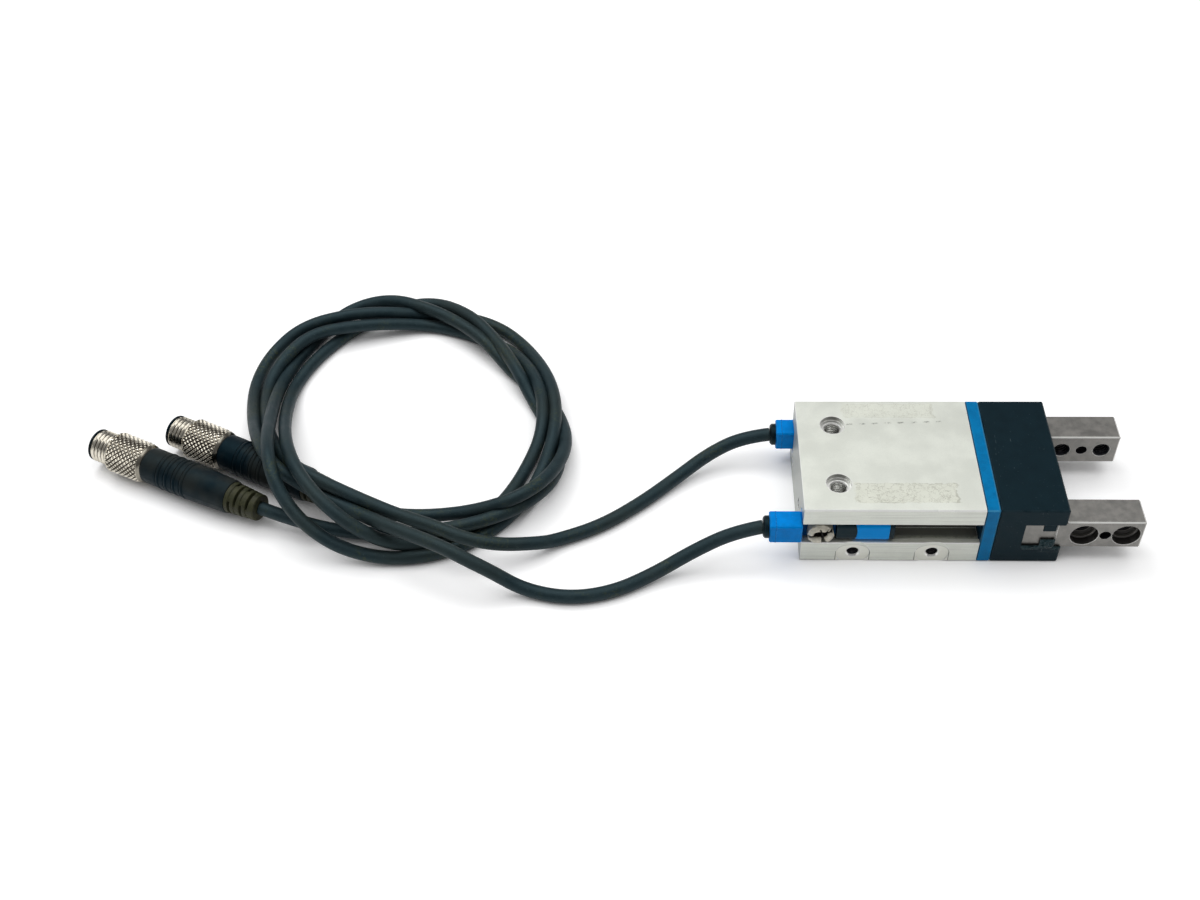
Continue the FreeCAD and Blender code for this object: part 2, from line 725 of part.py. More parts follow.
def sensor(name, side, shift):
    level = {"-": f"({MIDDLE} + slot_offset)", "+": f"({MIDDLE} - slot_offset)"}[side]
    face = f"({REAR} + {shift})"
    block_y = f"({side}({SIDE} + block_proud - block_width / 2))"
    floor = f"({SIDE} - slot_depth)"
    low = {"-": f"-{floor} - carrier_width", "+": floor}[side]
    end = f"({face} + carrier_length)"
    block = eased_box(
        f"{name}_block",
        (f"{face} - block_length / 2", block_y, level),
        ("block_length", "block_width", "block_height"),
        "block_chamfer",
    )
    carrier = box(
        f"{name}_carrier",
        (face, low, f"{level} - sensor_height / 2"),
        ("carrier_length", "carrier_width", "sensor_height"),
    )
    keep(fuse(f"{name}_frame", [block, carrier]), f"{name}_holder")
    head = f"({SIDE} + clamp_screw_proud - {floor} - carrier_width)"
    seat = {"-": f"-{SIDE} - clamp_screw_proud", "+": f"{floor} + carrier_width"}[side]
    slot = {"-": seat, "+": f"{SIDE} + clamp_screw_proud - clamp_slot_depth"}[side]
    middle = f"({face} + clamp_screw_setback)"
    disc = rod_shape(f"{name}_disc", "y", (middle, seat, level), "clamp_screw", head)
    groove = box(
        f"{name}_groove",
        (f"{middle} - clamp_screw / 2", slot, f"{level} - clamp_slot_width / 2"),
        ("clamp_screw", "clamp_slot_depth", "clamp_slot_width"),
    )
    keep(cut(f"{name}_clamp", disc, [groove]), f"{name}_clamp_screw")
    keep(section(f"{name}_tube", side, end, "barrel_length", "0"), f"{name}_barrel")
    band = f"({end} + barrel_length)"
    keep(section(f"{name}_band", side, band, "sleeve_length", "sleeve_proud"), f"{name}_sleeve")
    last = f"({band} + sleeve_length)"
    keep(section(f"{name}_end", side, last, "cap_length", "0"), f"{name}_cap")
    radius = "collar / 2"
    outline = [("0", "0"), ("collar_length", "0"), ("collar_length", radius)]
    outline += [("collar_chamfer", radius), ("0", f"{radius} - collar_chamfer")]
    body = turned(f"{name}_neck", outline)
    place(body, (f"{face} - block_length - collar_length", block_y, level))
    keep(body, f"{name}_cable_collar")


# Plug connectors, each turned about its own axis and lying on its coupling nut
def aim(item, plug):
    item.Placement = Placement(Vector(), Rotation(Vector(0, 0, -1), 1))
    place(item, (f"{plug}_x", f"{plug}_y", "knurl / 2"))
    bind(item, "Placement.Rotation.Angle", f"{plug}_turn")
    return item


def connector(plug):
    tube = "contact_tube / 2"
    hollow = "contact_hollow / 2"
    rim = "rim_diameter / 2"
    carrier = [("0", hollow), ("contact_depth", hollow), ("contact_depth", "0"), ("nut_end", "0")]
    carrier += [("nut_end", tube), ("rim_length", tube), ("rim_length", rim), ("0", rim)]
    keep(aim(turned(f"{plug}_carrier", carrier), plug), f"{plug}_contact_carrier")
    pins = []
    for k in range(CONTACTS):
        angle = 360 * k / CONTACTS
        start = (
            "contact_depth - contact_pin_length",
            f"contact_circle / 2 * cos({angle})",
            f"contact_circle / 2 * sin({angle})",
        )
        pins.append(rod_shape(f"{plug}_pin_{k}", "x", start, "contact_pin", "contact_pin_length"))
    keep(aim(group(f"{plug}_pin_set", pins), plug), f"{plug}_contacts")
    inner = f"{tube} + nut_clearance"
    start = "rim_length + nut_clearance"
    end = "nut_end - nut_clearance"
    nut = [(start, inner), (end, inner), (end, "nut_collar / 2"), ("knurl_end", "knurl / 2")]
    nut += [("thread_end", "knurl / 2"), ("thread_end", "thread / 2"), (start, "thread / 2")]
    keep(aim(turned(f"{plug}_nut", nut), plug), f"{plug}_coupling_nut")
    outer = "grip / 2"
    floor = f"{outer} - grip_groove_depth"
    grip = [("nut_end", "0"), ("grip_end", "0"), ("grip_end", "grip_end_diameter / 2")]
    shoulder = f"grip_groove_first + {GRIP_GROOVES} * grip_groove_pitch"
    grip.append((shoulder, outer))
    for k in reversed(range(GRIP_GROOVES)):
        near = f"grip_groove_first + {k} * grip_groove_pitch"
        far = f"{near} + grip_groove_width"
        grip += [(far, outer), (far, floor), (near, floor), (near, outer)]
    grip += [("nut_end + grip_groove_depth", outer), ("nut_end", floor)]
    keep(aim(turned(f"{plug}_mould", grip), plug), f"{plug}_grip")
    fall = "(relief - relief_end_diameter) / 2 / (relief_end - grip_end)"
    relief = [("grip_end", "0")]
    for k in range(RELIEF_RIBS):
        near = f"{k} * (relief_rib + relief_groove)"
        far = f"({near} + relief_rib)"
        last = k == RELIEF_RIBS - 1
        far = "(relief_end - grip_end)" if last else far
        relief += [(f"grip_end + {d}", f"relief / 2 - {fall} * {d}") for d in (f"({near})", far)]
        if not last:
            after = f"({near} + relief_rib + relief_groove)"
            low = "relief / 2 - relief_groove_depth"
            relief += [(f"grip_end + {d}", f"{low} - {fall} * {d}") for d in (far, after)]
    relief.append(("relief_end", "0"))
    keep(aim(turned(f"{plug}_boot", relief), plug), f"{plug}_strain_relief")


# The coil of both cables as one ring, hollowed where the plugs lie under it
def oval(name, length, width, x, y):
    flat = doc.addObject("Part::Ellipse", f"{name}_edge")
    bind(flat, "Placement.Rotation.Angle", "coil_turn")
    bind(flat, "MajorRadius", f"{length} / 2")
    bind(flat, "MinorRadius", f"{width} / 2")
    bind(flat, "Placement.Base.x", x)
    bind(flat, "Placement.Base.y", y)
    made = doc.addObject("Part::Extrusion", name)
    made.Base = flat
    made.DirMode = "Custom"
    made.Dir = Vector(0, 0, 1)
    made.Solid = True
    bind(made, "LengthFwd", "coil_height")
    return made


def cable_coil():
    outer = oval("coil_outer", "coil_length", "coil_width", "coil_centre_x", "coil_centre_y")
    inner = oval("coil_inner", "coil_hole_length", "coil_hole_width", "coil_hole_x", "coil_hole_y")
    tools = [inner]
    narrow = "grip / 2 + coil_clearance"
    wide = "knurl / 2 + coil_clearance"
    step = "nut_end + coil_clearance"
    for plug in ("front_plug", "rear_plug"):
        outline = [("0", "0"), ("relief_end", "0"), ("relief_end", narrow)]
        outline += [(step, narrow), (step, wide), ("0", wide)]
        tools.append(aim(turned(f"{plug}_room", outline), plug))
    keep(cut("coil", outer, tools), "cable_coil")


# Free cable stretches: straight runs joined by tangent arcs
def cable(label, first, route):
    points = [Vector(*corner) for corner in [first] + route]
    ways = [(b - a).normalize() for a, b in zip(points, points[1:])]
    runs = [(b - a).Length for a, b in zip(points, points[1:])]
    edges = []
    here = points[0]
    for k, corner in enumerate(points[1:-1]):
        turn = ways[k].getAngle(ways[k + 1])
        back = BEND_SHARE * min(runs[k], runs[k + 1])
        radius = back / math.tan(turn / 2)
        start = corner - ways[k] * back
        end = corner + ways[k + 1] * back
        inward = (ways[k + 1] - ways[k]).normalize()
        middle = corner + inward * (radius / math.cos(turn / 2) - radius)
        edges.append(Part.LineSegment(here, start).toShape())
        edges.append(Part.Arc(start, middle, end).toShape())
        here = end
        print(f"{label} bend {k + 1}: radius {radius:.1f}")
    edges.append(Part.LineSegment(here, points[-1]).toShape())
    path = Part.Wire(edges)
    radius = size("cable") / 2
    disc = Part.Wire([Part.makeCircle(radius, points[0], ways[0])])
    made = doc.addObject("Part::Feature", label)
    made.Shape = path.makePipeShell([disc], True, False)
    made.Placement = Placement()
    ratio = made.Shape.Volume / (math.pi * radius**2 * path.Length)
    print(f"{label}: {path.Length:.1f} mm long, volume {ratio:.4f} of section times length")
    keep(made, label)


def collar_end(side, shift):
    x = -size("mount_setback") - size("block_length") - size("collar_length") + shift
    y = side * (size("body_width") / 2 + size("block_proud") - size("block_width") / 2)
    z = size("body_height") / 2 - side * size("slot_offset")
    return (x, y, z)


def relief_tip(plug):
    turn = math.radians(size(f"{plug}_turn"))
    reach = size("relief_end")
    x = size(f"{plug}_x") + reach * math.cos(turn)
    y = size(f"{plug}_y") - reach * math.sin(turn)
    return (x, y, size("knurl") / 2)


cylinder_body()
passage_plug()
cover_plate()
guide_head()
lever_pins()
head_screws()
piston()
piston_rod()
lever("near_lever", "-", f"90 deg - {HALF_SWING}")
lever("far_lever", "+", HALF_SWING)
jaw("near_jaw", "-")
jaw("far_jaw", "+")
sensor("near_sensor", "-", "0")
sensor("far_sensor", "+", "far_sensor_shift")
connector("front_plug")
connector("rear_plug")
cable_coil()
cable("near_cable", collar_end(-1, 0), NEAR_ROUTE)
cable("far_cable", collar_end(1, size("far_sensor_shift")), FAR_ROUTE)
cable("front_plug_cable", relief_tip("front_plug"), PLUG_ROUTE)
doc.recompute()

for item in doc.Objects:
    if "Invalid" in item.State or "Error" in item.State:
        raise RuntimeError(f"{item.Label}: {item.State}")
os.makedirs("parts", exist_ok=True)
for label, item in nodes.items():
    if item.Shape.isNull() or not item.Shape.isValid():
        raise RuntimeError(f"{label} has no valid shape")
    item.Shape.exportStep(f"parts/{label}.step")
    print(f"{label}: {len(item.Shape.Solids)} solid, {item.Shape.Volume:.1f} mm3")
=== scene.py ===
import math

import bmesh
import bpy
from mathutils import Matrix, Vector, noise


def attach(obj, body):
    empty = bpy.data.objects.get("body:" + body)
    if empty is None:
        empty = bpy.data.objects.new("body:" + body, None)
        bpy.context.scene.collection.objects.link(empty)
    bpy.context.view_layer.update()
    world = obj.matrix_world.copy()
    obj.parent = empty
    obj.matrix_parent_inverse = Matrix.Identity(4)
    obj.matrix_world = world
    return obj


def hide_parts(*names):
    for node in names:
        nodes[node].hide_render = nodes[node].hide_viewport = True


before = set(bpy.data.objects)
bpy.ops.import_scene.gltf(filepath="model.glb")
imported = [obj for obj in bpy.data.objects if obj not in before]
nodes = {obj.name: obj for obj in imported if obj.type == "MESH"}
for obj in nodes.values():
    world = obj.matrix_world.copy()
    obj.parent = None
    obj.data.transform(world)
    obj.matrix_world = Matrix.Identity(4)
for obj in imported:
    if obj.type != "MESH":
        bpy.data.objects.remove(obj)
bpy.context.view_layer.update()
scene = bpy.context.scene

# sizes and places are millimetres in the part's frame, unless metres are named
MM = 0.001
TURN = 2 * math.pi

# places that the CAD gives
MIDDLE = 8.25
BODY_REAR, BODY_FRONT, BODY_SIDE, BODY_TOP = -8.0, 30.7, 17.0, 16.5
MOUNT_Y, MOUNT_STEP = 9.0, 15.3
PORTS, PORT_LEVEL = {"rear": 3.5, "front": 20.8}, 2.75
REAR_HOLE_Y, REAR_HOLE_LEVEL = -6.0, 6.8
SLOTS_LOW, SLOTS_HIGH, NEAR_SLOT_EDGE = 4.5, 12.0, 6.1
NEAR_LEVEL, FAR_LEVEL, FAR_SHIFT = 9.05, 7.45, 3.1
BLOCK_Y = 15.1
JAW_HOLES, JAW_MIDDLE, JAW_OUTER = {"rear": 52.8, "front": 61.8}, 12.9, 16.5


def link(name, data):
    """A new object in the scene."""
    obj = bpy.data.objects.new(name, data)
    scene.collection.objects.link(obj)
    return obj


# camera

EYE = Vector((-38.890, -225.699, 248.094))
YAW, PITCH, ROLL = (math.radians(a) for a in (-3.391, 45.566, -2.305))
LENS, SENSOR = 43.50, 36.0


def add_camera():
    s, c = math.sin(PITCH), math.cos(PITCH)
    tilt = Matrix(((1, 0, 0), (0, -s, -c), (0, c, -s)))
    turned = Matrix.Rotation(ROLL, 3, "Z") @ tilt @ Matrix.Rotation(YAW, 3, "Z")
    right, down, ahead = turned
    data = bpy.data.cameras.new("camera")
    data.sensor_fit = "HORIZONTAL"
    data.sensor_width, data.lens, data.clip_start = SENSOR, LENS, 0.01
    camera = link("camera", data)
    axes = Matrix((right, -down, -ahead)).transposed()
    camera.matrix_world = Matrix.Translation(EYE * MM) @ axes.to_4x4()
    scene.camera = camera


add_camera()


# cables

CABLE = 3.1
LYING = CABLE / 2
# the coil's middle, and the scale of the radii and heights chosen for its turns
COIL = Vector((-99.0, 26.5, 2.5))
SPREAD, STACK = 1.0086, 1.07
# degrees at which a turn starts, and from one of its points to the next
FIRST, STEP = 285, -15
# the height of a strand that lies on the floor
F = LYING / STACK

# each turn: radii, then heights
FAR_OUTER = (
    [37.4, 32.3, 29.4, 28.6, 29.6, 32.0, 34.4, 36.4, 39.0, 41.1, 42.5, 38.2,
     35.0, 33.2, 31.8, 31.2, 32.0, 31.9, 31.6, 31.5, 32.2, 33.4, 36.2, 39.8],
    [7.2, 8.2, 9.2, 9.9, 10.8, 11.0, 9.0, 3.6, 1.8, 4.0, 5.0, 4.6,
     3.5, F, F, F, F, 4.0, 4.8, 4.8, 3.2, F, F, F])
FAR_INNER = (
    [42.6, 41.4, 37.3, 33.9, 32.0, 31.2, 31.2, 31.4, 32.2, 33.3, 34.9, 37.2,
     40.8, 42.8, 38.9, 33.4, 30.2, 28.6, 28.6, 31.0, 37.5, 41.4, 41.2, 39.6],
    [F, 3.6, 9.2, 12.6, 14.0, 14.2, 12.4, 5.6, F, F, F, F,
     F, 1.8, 5.2, 5.0, 4.8, 4.8, 2.4, F, F, 2.6, 4.4, 4.9])
NEAR_OUTER = (
    [43.2, 36.5, 33.3, 32.2, 32.8, 35.4, 37.6, 39.5, 42.4, 44.9, 46.5, 43.5,
     39.9, 36.8, 37.6, 37.1, 35.6, 34.8, 34.6, 34.6, 35.3, 37.4, 40.6, 43.4],
    [10.0, 9.6, 8.0, 7.6, 8.8, 12.0, 10.8, 4.0, F, F, 4.6, 5.4,
     4.9, F, F, F, F, 3.6, 4.8, 5.0, 4.6, 2.2, F, F])
NEAR_INNER = (
    [45.5, 45.7, 44.0, 41.1, 38.5, 36.6, 35.5, 35.0, 35.9, 37.3, 39.7, 45.2,
     45.8, 39.6, 34.4, 30.7, 28.0, 27.7, 31.2, 35.5, 39.3, 39.8, 38.4, 35.9],
    [F, F, 3.6, 7.4, 11.0, 14.4, 14.4, 8.2, 2.4, F, F, F,
     4.2, 5.2, 4.8, 4.6, 2.8, F, F, 1.8, 4.2, 6.8, 7.8, 4.6])


def coil_point(angle, radius, height):
    """A point of the coil, on the line of sight through its place at the coil's own height."""
    a = math.radians(angle)
    flat = COIL + SPREAD * radius * Vector((math.cos(a), math.sin(a), 0))
    return flat + (EYE - flat) * (STACK * height - COIL.z) / (EYE.z - COIL.z)


def turn(radii, heights):
    return [coil_point(FIRST + STEP * k, r, h) for k, (r, h) in enumerate(zip(radii, heights))]


far_route = [Vector(p) for p in (
    (-13.3, 15.1, 7.45), (-19.6, 14.9, 6.6), (-27.4, 11.9, 4.3), (-35.2, 6.0, 2.0),
    (-43.4, -1.6, LYING), (-52.4, -8.6, LYING), (-62.2, -12.9, 1.6))]
far_route += [coil_point(*p) for p in ((309, 52.3, 3.2), (300, 47.6, 5.2), (292, 42.4, 6.6))]
far_route += turn(*FAR_OUTER) + turn(*FAR_INNER)
far_route += [coil_point(*p) for p in (
    (285, 38.4, 4.4), (270, 38.6, 1.6), (250, 39.6, 2.2), (236, 41.2, 3.9))]
far_route += [Vector((-129.85, -6.46, 4.9))]

near_route = [Vector(p) for p in (
    (-16.4, -15.1, 9.05), (-22.6, -16.0, 8.3), (-31.2, -18.6, 5.2), (-40.0, -22.6, 1.9),
    (-49.0, -27.6, LYING), (-58.6, -29.4, LYING), (-68.4, -27.2, 1.6))]
near_route += [coil_point(*p) for p in ((295, 53.9, 6.0), (290.5, 48.5, 8.6))]
near_route += turn(*NEAR_OUTER) + turn(*NEAR_INNER)
near_route += [coil_point(*p) for p in ((285, 33.8, 2.4), (270, 32.6, 2.6))]
near_route += [Vector((-107.5, -5.5, 4.4)), Vector((-112.85, -2.8, 4.9))]


def cable(name, route, *stands_for):
    curve = bpy.data.curves.new(name, "CURVE")
    curve.dimensions = "3D"
    spline = curve.splines.new("NURBS")
    spline.points.add(len(route) - 1)
    for point, place in zip(spline.points, route):
        point.co = (*(place * MM), 1)
        point.radius = CABLE / 2 * MM
    spline.order_u = 3
    spline.use_endpoint_u = True
    spline.resolution_u = 10
    curve.bevel_depth = 1.0
    curve.bevel_resolution = 6
    curve.use_fill_caps = True
    obj = link(name, curve)
    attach(obj, "housing")
    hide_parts(*stands_for)
    return obj


far_cord = cable("far_sensor_cable", far_route, "far_cable", "front_plug_cable", "cable_coil")
near_cord = cable("near_sensor_cable", near_route, "near_cable", "cable_coil")


# procedural finishes


class Nodes:
    """A node tree, with short ways to add to it."""

    def __init__(self, tree):
        self.tree = tree

    def put(self, socket, value):
        if isinstance(value, bpy.types.NodeSocket):
            self.tree.links.new(value, socket)
        elif socket.type == "RGBA":
            socket.default_value = (*value, 1)[:4]
        else:
            socket.default_value = value

    def node(self, kind, *inputs, **settings):
        made = self.tree.nodes.new(kind)
        for key, value in settings.items():
            setattr(made, key, value)
        for socket, value in zip(made.inputs, inputs):
            self.put(socket, value)
        return made

    def op(self, operation, a, b=0.0):
        return self.node("ShaderNodeMath", a, b, operation=operation).outputs[0]

    def vector(self, operation, *inputs, result="Vector"):
        return self.node("ShaderNodeVectorMath", *inputs, operation=operation).outputs[result]

    def ramp(self, value, low, high, first, last, kind="LINEAR"):
        """The number first up to low, and last from high on."""
        made = self.node("ShaderNodeMapRange", value, low, high, first, last, interpolation_type=kind)
        return made.outputs["Result"]

    def mix(self, kind, first, result, factor, a, b):
        """A Mix node, whose sockets for this kind of data start at first."""
        made = self.node("ShaderNodeMix", factor, data_type=kind)
        self.put(made.inputs[first], a)
        self.put(made.inputs[first + 1], b)
        return made.outputs[result]

    def seen(self, mirrored=1.0):
        """1 for the camera's rays, and mirrored for those that metal and glass send on."""
        path = self.node("ShaderNodeLightPath").outputs
        sent_on = self.op("MAXIMUM", path["Is Glossy Ray"], path["Is Transmission Ray"])
        return self.op("MAXIMUM", path["Is Camera Ray"], self.op("MULTIPLY", sent_on, mirrored))


class Finish(Nodes):
    """A procedural material; sizes in it are millimetres in the part's own frame."""

    def __init__(self, name, colour, rough, metal=0.0, **more):
        self.material = bpy.data.materials.new(name)
        self.material.use_nodes = True
        super().__init__(self.material.node_tree)
        self.shader = self.tree.nodes["Principled BSDF"]
        place = self.node("ShaderNodeTexCoord").outputs["Object"]
        self.mm = self.vector("MULTIPLY", place, (1 / MM, 1 / MM, 1 / MM))
        self.x, self.y, self.z = self.node("ShaderNodeSeparateXYZ", self.mm).outputs
        self.set("Base Color", colour)
        self.set("Roughness", rough)
        self.set("Metallic", metal)
        for socket, value in more.items():
            self.set(socket.replace("_", " "), value)

    def set(self, name, value):
        self.put(self.shader.inputs[name], value)

    def times(self, *factors):
        value = factors[0]
        for factor in factors[1:]:
            value = self.op("MULTIPLY", value, factor)
        return value

    def but(self, mask):
        """1 where mask is 0, and 0 where it is 1."""
        return self.op("SUBTRACT", 1.0, mask)

    def off(self, value, place):
        """How far value lies from place, either way."""
        return self.op("ABSOLUTE", self.op("SUBTRACT", value, place))

    def off_pair(self, value, first, last):
        """How far value lies from the nearer of two places; negative between them."""
        return self.op("SUBTRACT", self.off(value, (first + last) / 2), (last - first) / 2)

    def away(self, a, b):
        """The length of (a, b)."""
        return self.op("SQRT", self.op("ADD", self.times(a, a), self.times(b, b)))

    def cloud(self, scale, detail=4.0, rough=0.55, stretch=None, warp=0.0):
        where = self.vector("MULTIPLY", self.mm, stretch) if stretch else self.mm
        made = self.node("ShaderNodeTexNoise")
        for name, value in (("Vector", where), ("Scale", scale), ("Detail", detail),
                            ("Roughness", rough), ("Distortion", warp)):
            self.put(made.inputs[name], value)
        return made.outputs["Fac"]

    def mottle(self, scale, detail, rough):
        """Soft blotches of 0 and 1."""
        return self.step(self.cloud(scale, detail, rough), 0.3, 0.7)

    def step(self, value, low, high):
        """0 below low, 1 above high, smooth between; the other way round where low is the larger."""
        ends = (high, low, 1.0, 0.0) if low > high else (low, high, 0.0, 1.0)
        return self.ramp(value, *ends, kind="SMOOTHSTEP")

    def band(self, value, low, high, soft):
        """1 where value lies between low and high."""
        rise = self.step(value, low - soft, low + soft)
        return self.times(rise, self.step(value, high + soft, high - soft))

    def blend(self, factor, a, b):
        """Colour a where factor is 0, b where it is 1."""
        return self.mix("RGBA", 6, 2, factor, a, b)

    def lerp(self, factor, a, b):
        """Number a where factor is 0, b where it is 1."""
        return self.mix("FLOAT", 2, 0, factor, a, b)

    def facing(self, axis):
        """How far the surface faces along an axis of the part, from -1 to 1."""
        normal = self.node("ShaderNodeTexCoord").outputs["Normal"]
        return self.node("ShaderNodeSeparateXYZ", normal).outputs["XYZ".index(axis)]

    def chamfers(self):
        """1 on faces that slope between two axes of the part."""
        x, y, z = (self.op("ABSOLUTE", self.facing(axis)) for axis in "XYZ")
        xy, yz, xz = (self.op("MINIMUM", a, b) for a, b in ((x, y), (y, z), (x, z)))
        return self.step(self.op("MAXIMUM", xy, self.op("MAXIMUM", yz, xz)), 0.45, 0.6)

    def rounded(self, radius):
        """The normal, with the shape's edges rounded."""
        return self.node("ShaderNodeBevel", radius * MM, samples=6).outputs[0]

    def edges(self, radius):
        """1 along the edges of the shape, to about radius from them."""
        plain = self.node("ShaderNodeNewGeometry").outputs["Normal"]
        same = self.vector("DOT_PRODUCT", self.rounded(radius), plain, result="Value")
        return self.step(same, 0.985, 0.90)

    def relief(self, height, depth, soften=0.0):
        """Bump from a height of 0 to 1, depth millimetres deep; soften rounds the shape's edges."""
        made = self.node("ShaderNodeBump")
        self.put(made.inputs["Strength"], 1.0)
        self.put(made.inputs["Distance"], depth * MM)
        self.put(made.inputs["Height"], height)
        if soften:
            self.put(made.inputs["Normal"], self.rounded(soften))
        self.set("Normal", made.outputs["Normal"])


def srgb(*levels):
    """Linear colour from 0 to 255 levels."""
    unit = [v / 255 for v in levels]
    return tuple(u / 12.92 if u <= 0.04045 else ((u + 0.055) / 1.055) ** 2.4 for u in unit)


# colours of the gloss
BLUE_TINT, COOL_TINT = (0.02, 0.5, 1.0), (0.35, 0.8, 1.0)
SLATE_TINT, WARM_TINT = (0.6, 0.9, 1.0), (1.0, 0.95, 0.8)


# the body

# patches of adhesive on the top: middle, half size, strength of the film and of its border
PATCHES = (
    ((14.2, -11.8), (11.4, 3.0), 1.0, 0.8),
    ((12.8, 13.7), (10.6, 2.4), 0.6, 0.3))
SCUFF_FIRST, SCUFF_LAST, SCUFF_PITCH = 2.6, 24.6, 2.9
SCUFF_LANE, SCUFF_SLOPE = 9.1, 0.045
SEAT_R, SEAT_SQUASH = 3.7, 1.5


def sensor_slots(f, tone):
    """Painted shade down in the sensor slots, and dust on their lower walls near the mouth."""
    sunk = f.op("SUBTRACT", BODY_SIDE, f.op("ABSOLUTE", f.y))
    # painted shade: darker deep in the slots, away from the mouth
    slot_shade = f.times(f.step(sunk, 1.0, 3.2), f.band(f.z, SLOTS_LOW - 0.1, SLOTS_HIGH + 0.1, 0.1),
                   f.step(f.x, BODY_REAR + 0.05, BODY_REAR + 0.4))
    tone = f.blend(f.times(slot_shade, 0.78), tone, srgb(86, 84, 80))
    settled = f.times(f.step(sunk, 3.0, 1.8), f.step(sunk, 0.05, 0.15), f.step(f.facing("Z"), 0.5, 0.8),
                      f.band(f.z, SLOTS_LOW - 0.1, 7.0, 0.1), f.step(f.cloud(1.4, 4, 0.7), 0.30, 0.55))
    return f.blend(f.times(settled, 0.9), tone, srgb(216, 216, 206))


def adhesive(f, tone, ragged, top):
    """Thin crackled adhesive where a label has been, and a fainter patch beside the far edge."""
    creased = f.op("MAXIMUM", f.band(f.cloud(0.40, 4, 0.6), 0.497, 0.510, 0.010),
                   f.band(f.cloud(0.75, 4, 0.6), 0.440, 0.450, 0.010))
    broken = f.step(f.cloud(0.30, 3), 0.42, 0.58)
    stain = 0.0
    for (along, across), (half_long, half_wide), film, border in PATCHES:
        u = f.op("ADD", f.off(f.x, along), f.times(ragged, 1.6))
        v = f.op("ADD", f.off(f.y, across), f.times(ragged, 0.6))
        inside = f.times(f.step(u, half_long, half_long - 0.8), f.step(v, half_wide, half_wide - 0.3), top)
        core = f.times(f.step(u, half_long - 0.3, half_long - 1.0),
                       f.step(v, half_wide - 0.1, half_wide - 0.4))
        rim = f.times(inside, f.but(core), broken, f.step(f.x, 5.0, 9.0))
        tone = f.blend(f.times(inside, 0.3 * film), tone, srgb(216, 216, 198))
        tone = f.blend(f.times(inside, creased, 0.65 * film), tone, srgb(144, 142, 127))
        tone = f.blend(f.times(rim, border), tone, srgb(136, 133, 116))
        stain = f.op("MAXIMUM", stain, inside)
    return tone, stain, creased


def scuffs(f, tone, ragged, top):
    """Short rubbed scuffs in a row."""
    beat = f.op("FRACT", f.op("DIVIDE", f.op("SUBTRACT", f.x, SCUFF_FIRST), SCUFF_PITCH))
    lane = f.op("SUBTRACT", f.op("SUBTRACT", f.y, SCUFF_LANE), f.times(f.x, SCUFF_SLOPE))
    lane = f.op("ADD", lane, f.times(ragged, 0.25))
    row = f.times(f.band(beat, 0.2, 0.62, 0.12), f.band(lane, -0.22, 0.22, 0.14),
                  f.band(f.x, SCUFF_FIRST, SCUFF_LAST, 0.3))
    row = f.times(row, top, f.step(f.cloud(1.9, 3, 0.7), 0.40, 0.58))
    return f.blend(f.times(row, 0.8), tone, srgb(128, 129, 122))


def inset(f):
    """How far a place lies in from the near side."""
    return f.op("ADD", f.y, BODY_SIDE)


def machined(f, tone):
    """Freshly cut metal in the mounting holes and ports, and the arched seats milled round the ports."""
    mount = f.away(f.x, f.off_pair(f.y, -MOUNT_Y, MOUNT_Y))
    cut = f.times(f.step(mount, 2.9, 2.84), f.step(f.z, BODY_TOP - 0.04, BODY_TOP - 0.10))
    across = f.off_pair(f.x, *PORTS.values())
    rise = f.op("SUBTRACT", f.z, PORT_LEVEL)
    port = f.times(f.step(f.away(across, rise), 1.64, 1.56), f.step(inset(f), 0.7, 0.5))
    cut = f.op("MAXIMUM", cut, port)
    arch = f.away(across, f.times(f.op("MAXIMUM", rise, 0.0), SEAT_SQUASH))
    near_side = f.step(inset(f), 0.5, 0.3)
    seat = f.times(f.step(arch, SEAT_R, SEAT_R - 0.08), near_side)
    outline = f.times(f.band(arch, SEAT_R - 0.08, SEAT_R + 0.10, 0.05), near_side,
                      f.lerp(f.step(rise, 0.2, 1.4), 1.0, 0.35))
    tone = f.blend(f.times(seat, 0.75), tone, srgb(232, 232, 222))
    tone = f.blend(f.times(outline, 0.85), tone, srgb(104, 103, 97))
    tone = f.blend(cut, tone, srgb(240, 240, 236))
    # the walls above the step of a mounting hole are painted darker, as shade
    painted_wall_shade = f.step(f.z, MOUNT_STEP + 0.06, MOUNT_STEP + 0.20)
    tone = f.blend(f.times(cut, painted_wall_shade), tone, srgb(160, 161, 157))
    return tone, cut, outline


def rear_face_shade(f, tone):
    """Painted shade: the rear face is darker than the sides, and the blind hole in it is painted dark."""
    tone = f.blend(f.times(f.step(f.facing("X"), -0.6, -0.9), 0.8), tone, srgb(168, 171, 166))
    blind_hole_shade = f.away(f.op("SUBTRACT", f.y, REAR_HOLE_Y), f.op("SUBTRACT", f.z, REAR_HOLE_LEVEL))
    blind_hole_shade = f.times(f.step(blind_hole_shade, 1.44, 1.42), f.step(f.x, BODY_REAR + 0.1, BODY_REAR + 0.2),
                    f.step(f.x, BODY_REAR + 4.0, BODY_REAR + 3.5))
    return f.blend(blind_hole_shade, tone, srgb(44, 44, 42))


def edge_wear_and_highlight(f, cut, outline):
    """1 on the body's edges, worn and with a painted highlight, on its chamfers as a painted highlight,
    and along the lower edge of the near slot, rubbed and with a painted highlight.
    """
    wear_and_highlight = f.times(f.edges(0.34), f.step(f.cloud(0.5, 3), 0.15, 0.45), f.but(outline))
    wear_and_highlight = f.op("MAXIMUM", wear_and_highlight, f.times(f.chamfers(), f.but(cut), 0.9))
    # the lower edge of the near slot: rubbed, and lightened as a painted highlight
    rubbed = f.times(f.band(f.z, NEAR_SLOT_EDGE - 0.38, NEAR_SLOT_EDGE + 0.04, 0.07),
                     f.step(inset(f), 0.25, 0.10), f.step(f.cloud(0.9, 4, 0.7), 0.25, 0.5))
    return f.op("MAXIMUM", wear_and_highlight, rubbed)


